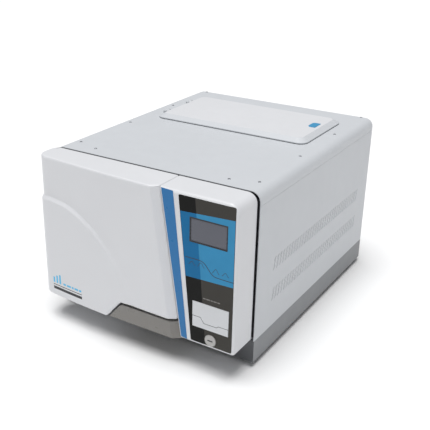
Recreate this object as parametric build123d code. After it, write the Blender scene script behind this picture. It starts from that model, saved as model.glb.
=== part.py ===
from build123d import *
import math
import os

# Benchtop steam steriliser with a round chamber of about 23 litres.
# Millimetres. X is to the right, Y to the rear and Z up. The model is drawn with y = 0 at the
# front edge of the sheet metal case and z = 0 under its base, and export() moves every piece so
# that the origin lies on the table, at the centre of the whole machine's footprint.

# ---- Case ----
CASE_W = 490.0
CASE_D = 586.0
CASE_H = 364.0
SKIRT_H = 50.0            # height of the dark base
SEAM_Z = 337.0            # where the top cover meets the side panels
CORNER_R = 20.0           # rounding of the top edges and of the rear corners
SHEET = 1.5               # sheet metal of the covers
BASE_SHEET = 2.5
FOOT_H = 12.0
FOOT_R = 17.0
FOOT_X = 185.0
FOOT_Y = (70.0, 516.0)
SCREW_X = 216.0
SCREW_Y = (48.0, 225.0, 404.0, 566.0)
FRONT_SCREW_X = 161.0
FRONT_SCREW_Y = 30.0

# ---- Side vents ----
VENT_BANDS = (123.5, 192.0)     # heights of the middles of the two bands
VENT_ROWS = 3
VENT_ROW_PITCH = 9.5
VENT_PITCH = 13.0
VENT_Y0 = 72.0
VENT_COUNT = 34
VENT_LEN = 12.0
VENT_W = 2.2
VENT_TILT = 40.0
VENT_STAGGER = 1.5

# ---- Front ----
SEAM = 6.0                # recessed gap between the case and the front parts
BULKHEAD_T = 3.0
FRONT_Y = -75.0           # front plane of the control housing
HOUSING_RIGHT = 241.0
HOUSING_BOTTOM = 54.5
HOUSING_CORNER_R = 20.0
HOUSING_FILLET = 7.0
WALL = 3.0                # plastic wall of the front parts
DOOR_GAP = 2.5            # between the door and the control housing
DOOR_LEFT = -242.0
DOOR_BOTTOM = 47.0
NOTCH_Z = 91.0            # underside of the door above the grip notch
DOOR_EDGE_TOP_X = 70.7    # the door's slanted right edge, at the top of the case
DOOR_EDGE_SLOPE = 0.15    # how far that edge moves right for each millimetre down
CHAMFER_W = 16.0          # slanted band along the door's right edge
CHAMFER_D = 12.5
FRONT_MOST = -81.0
REAR_MOST = 616.0

# ---- Chamber ----
CHAMBER_X = -95.0
CHAMBER_Z = 213.0
CHAMBER_R = 125.0
CHAMBER_L = 470.0
CHAMBER_WALL = 2.5
FLANGE_R = 142.0
FLANGE_NECK_R = 136.0
FLANGE_FACE_Y = -5.0
JACKET_R = 139.0

# ---- Hinge ----
HINGE_X = -228.0
HINGE_Y = -25.0
HINGE_Z = (110.0, 315.0)
HINGE_PIN_R = 4.0
KNUCKLE_R = 7.0
KNUCKLE_H = 8.0
RUNNING_GAP = 0.05

# ---- Control panel ----
OVERLAY_TOP = 358.5
OVERLAY_BOTTOM = 60.5
OVERLAY_LEFT_TOP = 116.0
OVERLAY_LEFT_BOTTOM = 146.0
OVERLAY_RIGHT = 236.0
OVERLAY_T = 1.5
LCD_X = (143.0, 219.0)
LCD_Z = (273.0, 318.0)
PRINTER_X = (149.5, 228.5)
PRINTER_Z = (94.0, 149.0)
SLIT_Z = (118.0, 107.0, 110.5)   # the three heights of the stepped paper slit
BUTTON_X = 190.0
BUTTON_Z = 73.0
BUTTON_R = 12.5

# ---- Reservoir lid on the top cover ----
LID_X = (-190.0, 194.0)
LID_Y = (292.0, 498.0)
LID_H = 9.5
LID_BEVEL = 13.0
LID_CORNER_R = 20.0
LID_T = 2.5
FILL_X = (-160.0, 166.0)
FILL_Y = (316.0, 474.0)

# ---- Rear ----
FAN_X = 150.0
FAN_Z = 255.0
FAN_SIZE = 92.0
FAN_BORE_R = 43.0
INLET_X = 190.0
INLET_Z = 92.0
SWITCH_X = 150.0
DRAIN_X = (-200.0, -140.0)
DRAIN_Z = 92.0
VALVE_X = -60.0
VALVE_Z = 300.0

Y_CENTRE = (FRONT_MOST + REAR_MOST) / 2
TO_TABLE = Pos(0, -Y_CENTRE, FOOT_H)

os.makedirs("parts", exist_ok=True)


def export(name, *solids):
    """Write one named sub-part in the shared frame."""
    shape = Compound(children=[TO_TABLE * s for s in solids]) if len(solids) > 1 else TO_TABLE * solids[0]
    export_step(shape, f"parts/{name}.step")


def block(x, y, z):
    """A box that spans the three given (low, high) pairs."""
    centre = Pos(sum(x) / 2, sum(y) / 2, sum(z) / 2)
    return centre * Box(x[1] - x[0], y[1] - y[0], z[1] - z[0])


def rod_x(radius, x, y, z):
    """A cylinder along X from x[0] to x[1]."""
    return Pos(sum(x) / 2, y, z) * Rot(0, 90, 0) * Cylinder(radius, x[1] - x[0])


def rod_y(radius, x, y, z):
    """A cylinder along Y from y[0] to y[1]."""
    return Pos(x, sum(y) / 2, z) * Rot(90, 0, 0) * Cylinder(radius, y[1] - y[0])


def rod_z(radius, x, y, z):
    """A cylinder along Z from z[0] to z[1]."""
    return Pos(x, y, sum(z) / 2) * Cylinder(radius, z[1] - z[0])


def front_prism(outline, y):
    """Extrude an outline drawn in X and Z from y[0] to y[1]."""
    return extrude(Plane.XZ.offset(-y[1]) * outline, amount=y[1] - y[0])


def side_prism(outline, x):
    """Extrude an outline drawn in Y and Z from x[0] to x[1]."""
    return extrude(Plane.YZ.offset(x[0]) * outline, amount=x[1] - x[0])


def grow(span, amount):
    """Widen a (low, high) pair by the same amount at both ends."""
    return (span[0] - amount, span[1] + amount)


def door_edge_x(z):
    """X of the door's slanted right edge at a height."""
    return DOOR_EDGE_TOP_X + DOOR_EDGE_SLOPE * (CASE_H - z)


# ======================================================================
# Case
# ======================================================================

def case_block(inset, z_low):
    """The case's outer form: rounded top edges and rear corners."""
    half = CASE_W / 2 - inset
    body = block((-half, half), (0, CASE_D - inset), (z_low, CASE_H - inset))
    rear = body.edges().filter_by(Axis.Z).sort_by(Axis.Y)[-2:]
    body = fillet(rear, CORNER_R - inset)
    top_face = body.faces().sort_by(Axis.Z)[-1]
    rounded = [e for e in top_face.edges() if e.center().Y > 1]
    return fillet(rounded, CORNER_R - inset)


def screw_places():
    """Plan positions of the screws in the top cover."""
    sides = [(sx * SCREW_X, y) for sx in (-1, 1) for y in SCREW_Y]
    return sides + [(sx * FRONT_SCREW_X, FRONT_SCREW_Y) for sx in (-1, 1)]


def vent_slots(x):
    """Two bands of leaning slots, cut through a side panel."""
    places = []
    for band in VENT_BANDS:
        for row in range(VENT_ROWS):
            z = band + (row - (VENT_ROWS - 1) / 2) * VENT_ROW_PITCH
            shift = VENT_Y0 + row * VENT_STAGGER
            places += [(shift + i * VENT_PITCH, z) for i in range(VENT_COUNT)]
    slots = Sketch() + [Pos(y, z) * Rot(0, 0, 90 - VENT_TILT) * SlotOverall(VENT_LEN, VENT_W) for y, z in places]
    return side_prism(slots, x)


def base_tray():
    """Folded dark tray with rounded rear corners and a softened lower edge."""
    half = CASE_W / 2
    outer = block((-half, half), (0, CASE_D), (0, SKIRT_H))
    outer = fillet(outer.edges().filter_by(Axis.Z).sort_by(Axis.Y)[-2:], CORNER_R)
    outer = fillet(outer.faces().sort_by(Axis.Z)[0].edges(), BASE_SHEET - 0.5)
    inner_x = (-half + BASE_SHEET, half - BASE_SHEET)
    inner = block(inner_x, (BASE_SHEET, CASE_D - BASE_SHEET), (BASE_SHEET, SKIRT_H + 1))
    inner = fillet(inner.edges().filter_by(Axis.Z).sort_by(Axis.Y)[-2:], CORNER_R - BASE_SHEET)
    return outer - inner


def rubber_feet():
    """Four round feet, each with a screw recess underneath."""
    feet = []
    for x in (-FOOT_X, FOOT_X):
        for y in FOOT_Y:
            foot = rod_z(FOOT_R, x, y, (-FOOT_H, 0))
            foot = fillet(foot.edges().sort_by(Axis.Z)[0], 2.5)
            feet.append(foot - rod_z(4, x, y, (-FOOT_H - 1, -FOOT_H + 5)))
    return feet


RAIL_X = 238.0            # middle of the side rails and posts
RAIL_T = 3.0
POST_TOP = 350.0
SADDLE_Y = (100.0, 400.0)
SADDLE_T = 4.0


def chassis_side(side):
    """One side of the chassis: two posts, a low rail and the rail under the top cover."""
    top = CASE_H - SHEET
    outer = sorted((side * (RAIL_X - RAIL_T / 2), side * (RAIL_X + RAIL_T / 2)))
    frame = block(outer, (4, 560), (BASE_SHEET, BASE_SHEET + 18))
    flat = sorted((side * (SCREW_X - 12), side * (SCREW_X + 8)))
    frame += block(flat, (4, 560), (top - RAIL_T, top))
    web = sorted((side * (SCREW_X + 5), side * (SCREW_X + 8)))
    shelf = sorted((side * (SCREW_X + 5), side * (RAIL_X + RAIL_T / 2)))
    for y in ((4, 24), (540, 560)):
        frame += block(outer, y, (BASE_SHEET, POST_TOP))
        frame += block(shelf, y, (POST_TOP - RAIL_T, POST_TOP))
        frame += block(web, y, (POST_TOP - RAIL_T, top))
    return frame


def chassis_frame():
    """Top rails on four posts, with two saddles that carry the chamber."""
    top = CASE_H - SHEET
    frame = chassis_side(-1) + chassis_side(1)
    for y in (4.0, 545.0):
        frame += block((-SCREW_X, SCREW_X), (y, y + 15), (top - RAIL_T, top))
        frame += block((-RAIL_X, RAIL_X), (y, y + 15), (BASE_SHEET, BASE_SHEET + RAIL_T))
    for y in SADDLE_Y:
        slab = (y, y + SADDLE_T)
        frame += block((-RAIL_X, CHAMBER_X + 130), slab, (BASE_SHEET, BASE_SHEET + 18))
        saddle = block((CHAMBER_X - 90, CHAMBER_X + 90), slab, (BASE_SHEET, 115))
        frame += saddle - rod_y(JACKET_R + 0.3, CHAMBER_X, grow(slab, 1), CHAMBER_Z)
    for x, y in screw_places():
        frame -= rod_z(1.7, x, y, (top - RAIL_T - 1, top + 1))
    return frame


def front_bulkhead():
    """Dark plate behind the door and the control housing."""
    plate = block((-238, 238), (-BULKHEAD_T, 0), (SKIRT_H + 2, CASE_H - 4))
    corners = plate.edges().filter_by(Axis.Y).group_by(Axis.Z)[-1]
    plate = fillet(corners, 16)
    plate -= rod_y(FLANGE_NECK_R + 0.3, CHAMBER_X, (-BULKHEAD_T - 1, 1), CHAMBER_Z)
    plate -= block((135, 225), (-BULKHEAD_T - 1, 1), (90, 330))
    return plate


def side_panel(side):
    """Painted side sheet that turns round the rear corner, with two vent bands."""
    shell = case_block(0, SKIRT_H) - case_block(SHEET, SKIRT_H - 1)
    x = (CASE_W / 2 - CORNER_R, CASE_W / 2 + 1)
    panel = shell & block(x, (-1, CASE_D + 1), (SKIRT_H, SEAM_Z - 0.4))
    panel -= vent_slots((CASE_W / 2 - SHEET - 1, CASE_W / 2 + 1))
    return panel if side > 0 else mirror(panel, about=Plane.YZ)


def top_cover():
    """Pressed cover with rounded edges and a cut-out under the reservoir lid."""
    cover = case_block(0, SEAM_Z) - case_block(SHEET, SEAM_Z - 1)
    cover -= block(FILL_X, FILL_Y, (SEAM_Z, CASE_H + 1))
    for x, y in screw_places():
        cover -= rod_z(1.7, x, y, (SEAM_Z, CASE_H + 1))
    return cover


def rear_panel():
    """Flat rear sheet with cut-outs for the fan, the power inlet and the pipes."""
    half = CASE_W / 2 - CORNER_R - 0.3
    panel = block((-half, half), (CASE_D - SHEET, CASE_D), (SKIRT_H + 0.3, SEAM_Z - 0.4))
    cut = (CASE_D - SHEET - 1, CASE_D + 1)
    panel -= rod_y(FAN_BORE_R, FAN_X, cut, FAN_Z)
    panel -= block((INLET_X - 14.5, INLET_X + 14.5), cut, (INLET_Z - 11, INLET_Z + 11))
    panel -= block((SWITCH_X - 10.2, SWITCH_X + 10.2), cut, (INLET_Z - 14.2, INLET_Z + 14.2))
    panel -= rod_y(7.2, VALVE_X, cut, VALVE_Z)
    for x in DRAIN_X:
        panel -= rod_y(6.2, x, cut, DRAIN_Z)
    for x, z in rear_screw_places():
        panel -= rod_y(1.7, x, cut, z)
    return panel


def rear_screw_places():
    """Positions of the rear panel's screws."""
    return [(x, z) for x in (-212.0, 0.0, 212.0) for z in (66.0, 322.0)]


def casing_screws():
    """Pan head screws of the top cover and of the rear panel."""
    screws = []
    for x, y in screw_places():
        head = rod_z(3.0, x, y, (CASE_H, CASE_H + 1.2))
        head = fillet(head.edges().sort_by(Axis.Z)[-1], 0.8)
        screws.append(head + rod_z(1.5, x, y, (CASE_H - 8, CASE_H)))
    for x, z in rear_screw_places():
        head = rod_y(3.0, x, (CASE_D, CASE_D + 1.2), z)
        head = fillet(head.edges().sort_by(Axis.Y)[-1], 0.8)
        screws.append(head + rod_y(1.5, x, (CASE_D - 6, CASE_D), z))
    return screws


# ======================================================================
# Door
# ======================================================================

def door_outline(inset):
    """Front outline of the door: slanted right edge and a grip notch underneath."""
    corners = [
        (DOOR_LEFT, CASE_H),
        (door_edge_x(CASE_H), CASE_H),
        (door_edge_x(NOTCH_Z), NOTCH_Z),
        (-22, NOTCH_Z),
        (-60, DOOR_BOTTOM),
        (DOOR_LEFT, DOOR_BOTTOM),
    ]
    face = make_face(Polyline(*corners, close=True))
    order = face.vertices().sort_by(Axis.X)
    face = fillet([v for v in order if v.X < DOOR_LEFT + 1], 9)
    notch = [v for v in face.vertices() if -61 < v.X < -21 and v.Y < NOTCH_Z + 1]
    face = fillet(notch, 8)
    return offset(face, -inset, kind=Kind.INTERSECTION) if inset else face


def door_plan(y_left, y_mid, y_right, inset):
    """Plan outline of the door: rounded left edge and a gently bowed front."""
    left = DOOR_LEFT + inset
    rear_r = 14.0
    corner = (left, y_left + 24 + inset)
    shoulder = (-216, y_left + inset)
    if inset:
        rear = 0.0
        left_side = [Line((left, rear), corner)]
    else:
        rear = -SEAM
        left_side = [RadiusArc((left + rear_r, rear), (left, rear - rear_r), -rear_r)]
        left_side.append(Line((left, rear - rear_r), corner))
    rear_left = left_side[0] @ 0
    front = [
        RadiusArc(corner, shoulder, -26 + inset),
        ThreePointArc(shoulder, (-100, y_mid + inset), (45, y_right + inset)),
        Line((45, y_right + inset), (135, y_right + inset)),
        Line((135, y_right + inset), (135, rear)),
        Line((135, rear), rear_left),
    ]
    return make_face(left_side + front)


def door_edge_wedge(inset):
    """What the slanted band along the door's right edge takes away."""
    top, low = CASE_H + 40, 0.0
    front = FRONT_MOST + inset
    kink_top = (door_edge_x(top) - CHAMFER_W - inset, front)
    kink_low = (door_edge_x(low) - CHAMFER_W - inset, front)
    sections = []
    for z, (x, y) in ((low, kink_low), (top, kink_top)):
        corners = [(x, y), (x + 80, y + 80 * CHAMFER_D / CHAMFER_W), (x + 80, y - 30), (x, y - 30)]
        sections.append(Plane.XY.offset(z) * make_face(Polyline(*corners, close=True)))
    return loft(sections)


ARC_LEFT_Z = 268.0        # where the raised field's edge meets the door's left side
ARC_FLAT_X = -195.0
ARC_END = (-14.0, 140.0)


def raised_field():
    """The door's lower left field, bounded above by an arc."""
    lines = [
        Line((DOOR_LEFT - 5, ARC_LEFT_Z), (ARC_FLAT_X, ARC_LEFT_Z + 3)),
        TangentArc((ARC_FLAT_X, ARC_LEFT_Z + 3), ARC_END, tangent=(1, 0.02)),
        Line(ARC_END, (ARC_END[0] + 6, DOOR_BOTTOM - 5)),
        Line((ARC_END[0] + 6, DOOR_BOTTOM - 5), (DOOR_LEFT - 5, DOOR_BOTTOM - 5)),
        Line((DOOR_LEFT - 5, DOOR_BOTTOM - 5), (DOOR_LEFT - 5, ARC_LEFT_Z)),
    ]
    return front_prism(make_face(lines), (FRONT_MOST - 5, 0))


def door_body(inset):
    """The door's solid form, before it is hollowed."""
    tall = CASE_H + 10
    upper = extrude(door_plan(-64.5, -74.0, FRONT_MOST, inset), tall)
    if inset == 0:
        proud = extrude(door_plan(-69.5, -78.0, FRONT_MOST, inset), tall)
        upper += proud & raised_field()
    body = upper & front_prism(door_outline(inset), (FRONT_MOST - 5, 1))
    return body - door_edge_wedge(inset)


def bolt_window(x):
    """Rectangular way for the lock bolt through the door's edge and its striker."""
    y = (BOLT_Y - BOLT_WINDOW[0] / 2, BOLT_Y + BOLT_WINDOW[0] / 2)
    z = (BOLT_Z - BOLT_WINDOW[1] / 2, BOLT_Z + BOLT_WINDOW[1] / 2)
    return block(x, y, z)


def hinge_relief(gap):
    """Room round each fixed hinge ear over the door's whole swing."""
    reach = KNUCKLE_H / 2 + gap
    cuts = [rod_z(24.0, HINGE_X, HINGE_Y, (z - reach, z + reach)) for z in HINGE_Z]
    return cuts[0] + cuts[1]


def door_cover():
    """Hollow moulded shell of the door, with slots for the hinge ears and a window for the bolt."""
    shell = door_body(0) - door_body(WALL)
    shell -= hinge_relief(1.5)
    return shell - bolt_window((60, 130))


def door_liner():
    """Plastic panel that closes the back of the door round the pressure plate."""
    y = (-9.0, -SEAM - 0.5)
    liner = door_body(WALL + 0.3) & block((-226, 130), y, (0, 400))
    liner -= rod_y(PLATE_R + 0.8, CHAMBER_X, (-20, 0), CHAMBER_Z)
    liner -= rod_y(FILTER_R + 5, FILTER_X, (-20, 0), FILTER_Z)
    return liner - hinge_relief(1.5)


FRAME_Y = (-27.0, -24.0)


def door_frame():
    """Steel plate inside the door, with its hinge knuckles and the lock striker."""
    plate = block((-206, 58), FRAME_Y, (56, 350)) & front_prism(door_outline(7), FRAME_Y)
    plate += block((45, 98), FRAME_Y, (BOLT_Z - 15, BOLT_Z + 15))
    striker = block((87, 98), (FRAME_Y[0] - 2, -9.6), (BOLT_Z - 12, BOLT_Z + 12))
    plate += striker
    boss = rod_y(30, CHAMBER_X, (FRAME_Y[1], -20.2), CHAMBER_Z)
    plate += boss
    for z in HINGE_Z:
        for side in (-1, 1):
            near = z + side * (KNUCKLE_H / 2 + 0.5)
            span = (min(near, near + side * KNUCKLE_H), max(near, near + side * KNUCKLE_H))
            knuckle = rod_z(KNUCKLE_R, HINGE_X, HINGE_Y, span)
            arm = block((HINGE_X, -204), (FRAME_Y[0] - 2, FRAME_Y[1]), span)
            plate += knuckle + arm
            plate -= rod_z(HINGE_PIN_R + RUNNING_GAP, HINGE_X, HINGE_Y, grow(span, 1))
    return plate - bolt_window((86, 99))


PLATE_R = 136.0
GASKET_R = (127.0, 133.8)
GASKET_Y = (-12.5, FLANGE_FACE_Y - 0.3)


def ring(outer, inner, y):
    """A flat ring about the chamber's axis."""
    wide = grow(y, 1)
    return rod_y(outer, CHAMBER_X, y, CHAMBER_Z) - rod_y(inner, CHAMBER_X, wide, CHAMBER_Z)


def pressure_plate():
    """Round stainless door plate with a dished middle and a groove for the seal."""
    plate = rod_y(PLATE_R, CHAMBER_X, (-20, -7.5), CHAMBER_Z)
    plate = fillet(plate.edges().sort_by(Axis.Y)[0], 3)
    plate -= rod_y(112, CHAMBER_X, (-12, -7), CHAMBER_Z)
    groove = rod_y(GASKET_R[1] + 0.2, CHAMBER_X, (-12.7, -7), CHAMBER_Z)
    groove -= rod_y(GASKET_R[0] - 0.2, CHAMBER_X, (-12.7, -7), CHAMBER_Z)
    return plate - groove


def door_gasket():
    """Silicone seal with a rounded lip."""
    seal = ring(GASKET_R[1], GASKET_R[0], GASKET_Y)
    return fillet(seal.edges().group_by(Axis.Y)[-1], 2.5)


def hinge_brackets():
    """Two fixed hinge ears on their base leaves."""
    brackets = []
    for z in HINGE_Z:
        leaf = block((-236, -212), (-BULKHEAD_T - 2, -BULKHEAD_T), (z - 16, z + 16))
        half = KNUCKLE_H / 2
        ear = block((HINGE_X - 5, HINGE_X + 5), (HINGE_Y, -BULKHEAD_T), (z - half, z + half))
        ear += rod_z(KNUCKLE_R, HINGE_X, HINGE_Y, (z - half, z + half))
        bracket = leaf + ear - rod_z(HINGE_PIN_R + RUNNING_GAP, HINGE_X, HINGE_Y, (z - half - 1, z + half + 1))
        brackets.append(bracket)
    return brackets


def hinge_pins():
    """Two steel pins with thin heads."""
    pins = []
    reach = KNUCKLE_H * 1.5 + 0.5
    for z in HINGE_Z:
        pin = rod_z(HINGE_PIN_R, HINGE_X, HINGE_Y, (z - reach - 1, z + reach + 0.3))
        pins.append(pin + rod_z(6.0, HINGE_X, HINGE_Y, (z + reach + 0.3, z + reach + 2.3)))
    return pins


# ======================================================================
# Chamber
# ======================================================================
FILTER_X = 36.0
FILTER_Z = 331.0
FILTER_R = 21.0
BOLT_Y = -18.0
BOLT_Z = 140.0
BOLT_WINDOW = (13.0, 15.0)


def chamber():
    """Deep drawn stainless vessel with a domed back."""
    outer_r = CHAMBER_R + CHAMBER_WALL
    back = CHAMBER_L + 6.5
    outer = rod_y(outer_r, CHAMBER_X, (6.3, back), CHAMBER_Z)
    outer = fillet(outer.edges().sort_by(Axis.Y)[-1], 30)
    inner = rod_y(CHAMBER_R, CHAMBER_X, (6, back - CHAMBER_WALL), CHAMBER_Z)
    inner = fillet(inner.edges().sort_by(Axis.Y)[-1], 30 - CHAMBER_WALL)
    return outer - inner


def chamber_flange():
    """Stepped stainless ring that carries the chamber in the bulkhead."""
    lip = ring(FLANGE_R, CHAMBER_R, (FLANGE_FACE_Y, -BULKHEAD_T))
    neck = ring(FLANGE_NECK_R, CHAMBER_R, (-BULKHEAD_T, 6))
    return lip + neck


def heater_bands():
    """Two heating bands clamped round the chamber."""
    inner = CHAMBER_R + CHAMBER_WALL + 0.2
    return [ring(inner + 2.5, inner, (y, y + 50)) for y in (70.0, 330.0)]


def insulation_jacket():
    """Felt jacket round the chamber, over the heating bands."""
    return ring(JACKET_R, CHAMBER_R + CHAMBER_WALL + 3.2, (16, CHAMBER_L - 30))


TRAY_W = 168.0
TRAY_D = 420.0
TRAY_Y = (22.0, 442.0)
TRAY_PITCH = 46.0
TRAY_WALL = 1.0
TRAY_H = 20.0
TRAY_Z0 = CHAMBER_Z - 62.0


def tray_rack():
    """Bent stainless rack: two side plates with ledges, joined by cross bars."""
    half = TRAY_W / 2 + 2
    low, high = CHAMBER_Z - 74, CHAMBER_Z + 74
    rack = None
    for side in (-1, 1):
        x = CHAMBER_X + side * half
        plate = block((x - 1, x + 1), (20, 444), (low, high))
        plate -= block((x - 2, x + 2), (60, 215), (low + 20, high - 20))
        plate -= block((x - 2, x + 2), (250, 405), (low + 20, high - 20))
        for i in range(3):
            z = TRAY_Z0 + i * TRAY_PITCH
            ledge_x = sorted((x, x - side * 9))
            plate += block(tuple(ledge_x), (20, 444), (z - 2.2, z - 0.2))
        rack = plate if rack is None else rack + plate
    for y in (24.0, 434.0):
        for z in (low + 1, high - 3):
            rack += block((CHAMBER_X - half, CHAMBER_X + half), (y, y + 6), (z, z + 2))
    return rack


def tray(index):
    """Shallow stainless tray with a rolled rim and a perforated floor."""
    z = TRAY_Z0 + index * TRAY_PITCH
    half = TRAY_W / 2
    body = block((CHAMBER_X - half, CHAMBER_X + half), TRAY_Y, (z, z + TRAY_H))
    body = fillet(body.edges().filter_by(Axis.Z), 14)
    inner = block(
        (CHAMBER_X - half + TRAY_WALL, CHAMBER_X + half - TRAY_WALL),
        grow(TRAY_Y, -TRAY_WALL),
        (z + TRAY_WALL, z + TRAY_H + 1),
    )
    inner = fillet(inner.edges().filter_by(Axis.Z), 13)
    body -= inner
    holes = [(CHAMBER_X + i * 24, 70 + j * 36) for i in range(-2, 3) for j in range(10)]
    disks = Sketch() + [Pos(x, y) * Circle(3) for x, y in holes]
    return body - extrude(Plane.XY.offset(z - 1) * disks, TRAY_WALL + 2)


def bacteria_filter():
    """Round air filter cartridge screwed into the bulkhead."""
    body = rod_y(FILTER_R, FILTER_X, (-21, -BULKHEAD_T), FILTER_Z)
    body = fillet(body.edges().sort_by(Axis.Y)[0], 3)
    rib_count = 12
    for i in range(rib_count):
        a = 2 * math.pi * i / rib_count
        x = FILTER_X + (FILTER_R + 0.5) * math.cos(a)
        body -= rod_y(1.6, x, (-19, -6), FILTER_Z + (FILTER_R + 0.5) * math.sin(a))
    return body


# ======================================================================
# Control side
# ======================================================================

def housing_left_x(z):
    """X of the control housing's slanted left edge at a height."""
    return door_edge_x(z) + DOOR_GAP


def housing_outline(inset):
    """Front outline of the control housing."""
    corners = [
        (housing_left_x(CASE_H), CASE_H),
        (HOUSING_RIGHT, CASE_H),
        (HOUSING_RIGHT, HOUSING_BOTTOM),
        (housing_left_x(HOUSING_BOTTOM), HOUSING_BOTTOM),
    ]
    face = make_face(Polyline(*corners, close=True))
    right = [v for v in face.vertices() if v.X > HOUSING_RIGHT - 1]
    face = fillet([v for v in right if v.Y > CASE_H - 1], HOUSING_CORNER_R)
    low = [v for v in face.vertices() if v.Y < HOUSING_BOTTOM + 1]
    face = fillet(low, 5)
    return offset(face, -inset, kind=Kind.INTERSECTION) if inset else face


FACET_TOP = (31.0, 3.0)      # width and depth of the facet at the top
FACET_LOW = (18.5, 4.0)      # and at the bottom


def facet_wedge(lift):
    """What the facet beside the door takes off the housing's front left edge."""
    sections = []
    for z, (width, depth) in ((CASE_H + 1, FACET_TOP), (HOUSING_BOTTOM - 1, FACET_LOW)):
        x = housing_left_x(z)
        corners = [
            (x - 2, FRONT_Y + depth + lift),
            (x + width, FRONT_Y + lift),
            (x + width, FRONT_Y - 3),
            (x - 2, FRONT_Y - 3),
        ]
        sections.append(Plane.XY.offset(z) * make_face(Polyline(*corners, close=True)))
    return loft(sections)


def overlay_outline(inset):
    """Outline of the black front panel."""
    corners = [
        (OVERLAY_LEFT_TOP, OVERLAY_TOP),
        (OVERLAY_RIGHT, OVERLAY_TOP),
        (OVERLAY_RIGHT, OVERLAY_BOTTOM),
        (OVERLAY_LEFT_BOTTOM, OVERLAY_BOTTOM),
    ]
    face = fillet(make_face(Polyline(*corners, close=True)).vertices(), 3)
    return offset(face, -inset) if inset else face


def panel_openings(gap, y):
    """Openings for the display, the printer and the button."""
    cut = block(grow(LCD_X, gap), y, grow(LCD_Z, gap))
    cut += block(grow(PRINTER_X, gap), y, grow(PRINTER_Z, gap))
    return cut + rod_y(BUTTON_R + gap, BUTTON_X, y, BUTTON_Z)


def control_housing():
    """Hollow gloss housing with a facet, a panel recess and its openings."""
    outer = front_prism(housing_outline(0), (FRONT_Y, -SEAM))
    front = outer.faces().sort_by(Axis.Y)[0]
    rounded = [e for e in front.edges() if e.center().X > housing_left_x(e.center().Z) + 4]
    outer = fillet(rounded, HOUSING_FILLET)
    outer -= facet_wedge(0)
    inner = front_prism(housing_outline(WALL), (FRONT_Y + WALL + 4, 0))
    housing = outer - inner
    housing -= front_prism(overlay_outline(-0.3), (FRONT_Y - 1, FRONT_Y + OVERLAY_T))
    housing -= panel_openings(0.6, (FRONT_Y - 1, FRONT_Y + 12))
    return housing - rod_x(5.3, (80, 130), BOLT_Y, BOLT_Z)


def facet_point(z, dx):
    """A point on the facet: its X and Y at a height, dx from the housing's left edge."""
    share = (z - HOUSING_BOTTOM + 1) / (CASE_H - HOUSING_BOTTOM + 2)
    width = FACET_LOW[0] + (FACET_TOP[0] - FACET_LOW[0]) * share
    depth = FACET_LOW[1] + (FACET_TOP[1] - FACET_LOW[1]) * share
    dx = width - 0.5 if dx is None else dx
    return housing_left_x(z) + dx, FRONT_Y + depth * (1 - (dx + 2) / (width + 2))


def blue_trim_strip():
    """Thin coloured strip laid on the facet."""
    strip_t, glue = 0.6, 0.05
    sections = []
    for z in (HOUSING_BOTTOM + 4, CASE_H - 1.5):
        left, right = facet_point(z, 3.0), facet_point(z, None)
        corners = [
            (left[0], left[1] - glue),
            (right[0], right[1] - glue),
            (right[0], right[1] - strip_t),
            (left[0], left[1] - strip_t),
        ]
        sections.append(Plane.XY.offset(z) * make_face(Polyline(*corners, close=True)))
    return loft(sections)


def control_overlay():
    """Black front panel with its display window, printer opening and button hole."""
    plate = front_prism(overlay_outline(0), (FRONT_Y, FRONT_Y + OVERLAY_T - 0.1))
    return plate - panel_openings(0.3, (FRONT_Y - 1, FRONT_Y + OVERLAY_T + 1))


def lcd_screen():
    """Display module: the glass stands in the window, its frame lies behind."""
    glass = block(grow(LCD_X, -0.2), (FRONT_Y + 0.6, FRONT_Y + 4), grow(LCD_Z, -0.2))
    frame = block(grow(LCD_X, 7), (FRONT_Y + 7.5, FRONT_Y + 15), grow(LCD_Z, 9))
    neck = block(grow(LCD_X, -1), (FRONT_Y + 4, FRONT_Y + 7.5), grow(LCD_Z, -1))
    return glass + neck + frame


def control_board():
    """Circuit board on pillars, with the larger components of the controller."""
    y = (FRONT_Y + 30, FRONT_Y + 31.6)
    board = block((150, 226), y, (168, 350))
    for x, z, w, h, t in ((188, 330, 30, 14, 6), (170, 240, 22, 22, 3), (205, 240, 14, 30, 9), (185, 190, 40, 12, 12)):
        board += block((x - w / 2, x + w / 2), (y[1], y[1] + t), (z - h / 2, z + h / 2))
    for x in (154, 222):
        for z in (172, 346):
            board += rod_y(3, x, (y[0] - 10, y[0]), z)
    return board


def slit_outline(z_low, z_high, lift):
    """The printer's front below the stepped slit, or above it."""
    x0, x1 = PRINTER_X
    left, middle, right = (z + lift for z in SLIT_Z)
    slit = [
        (x0, left),
        (x0 + 18, left),
        (x0 + 26, middle),
        (x0 + 54, middle),
        (x0 + 58, right),
        (x1, right),
    ]
    edge = z_low if lift < 0 else z_high
    return make_face(Polyline(*slit, (x1, edge), (x0, edge), close=True))


PRINTER_FRONT = FRONT_Y - 1.0
PRINTER_DEPTH = 34.0
ROLL_R = 10.0
ROLL_Y = -52.0
ROLL_Z = 122.0


def printer_body():
    """Printer case: the fixed upper front and the paper bay behind it."""
    front = front_prism(slit_outline(*PRINTER_Z, 0.4), (PRINTER_FRONT, FRONT_Y + 4))
    bay = block(PRINTER_X, (FRONT_Y + 4, FRONT_Y + 4 + PRINTER_DEPTH), PRINTER_Z)
    bay -= block((PRINTER_X[0] + 4, PRINTER_X[1] - 4), (FRONT_Y + 3, FRONT_Y + PRINTER_DEPTH), (97.5, 136))
    body = front + bay
    for x in (PRINTER_X[0] + 4, PRINTER_X[1] - 4):
        body += rod_x(2.5, (x - 3, x + 3), ROLL_Y, ROLL_Z)
    return body


def paper_roll():
    """Small roll of printer paper with its hollow core."""
    roll = rod_x(ROLL_R, (PRINTER_X[0] + 8, PRINTER_X[1] - 8), ROLL_Y, ROLL_Z)
    return roll - rod_x(3.6, (PRINTER_X[0] + 7, PRINTER_X[1] - 7), ROLL_Y, ROLL_Z)


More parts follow.
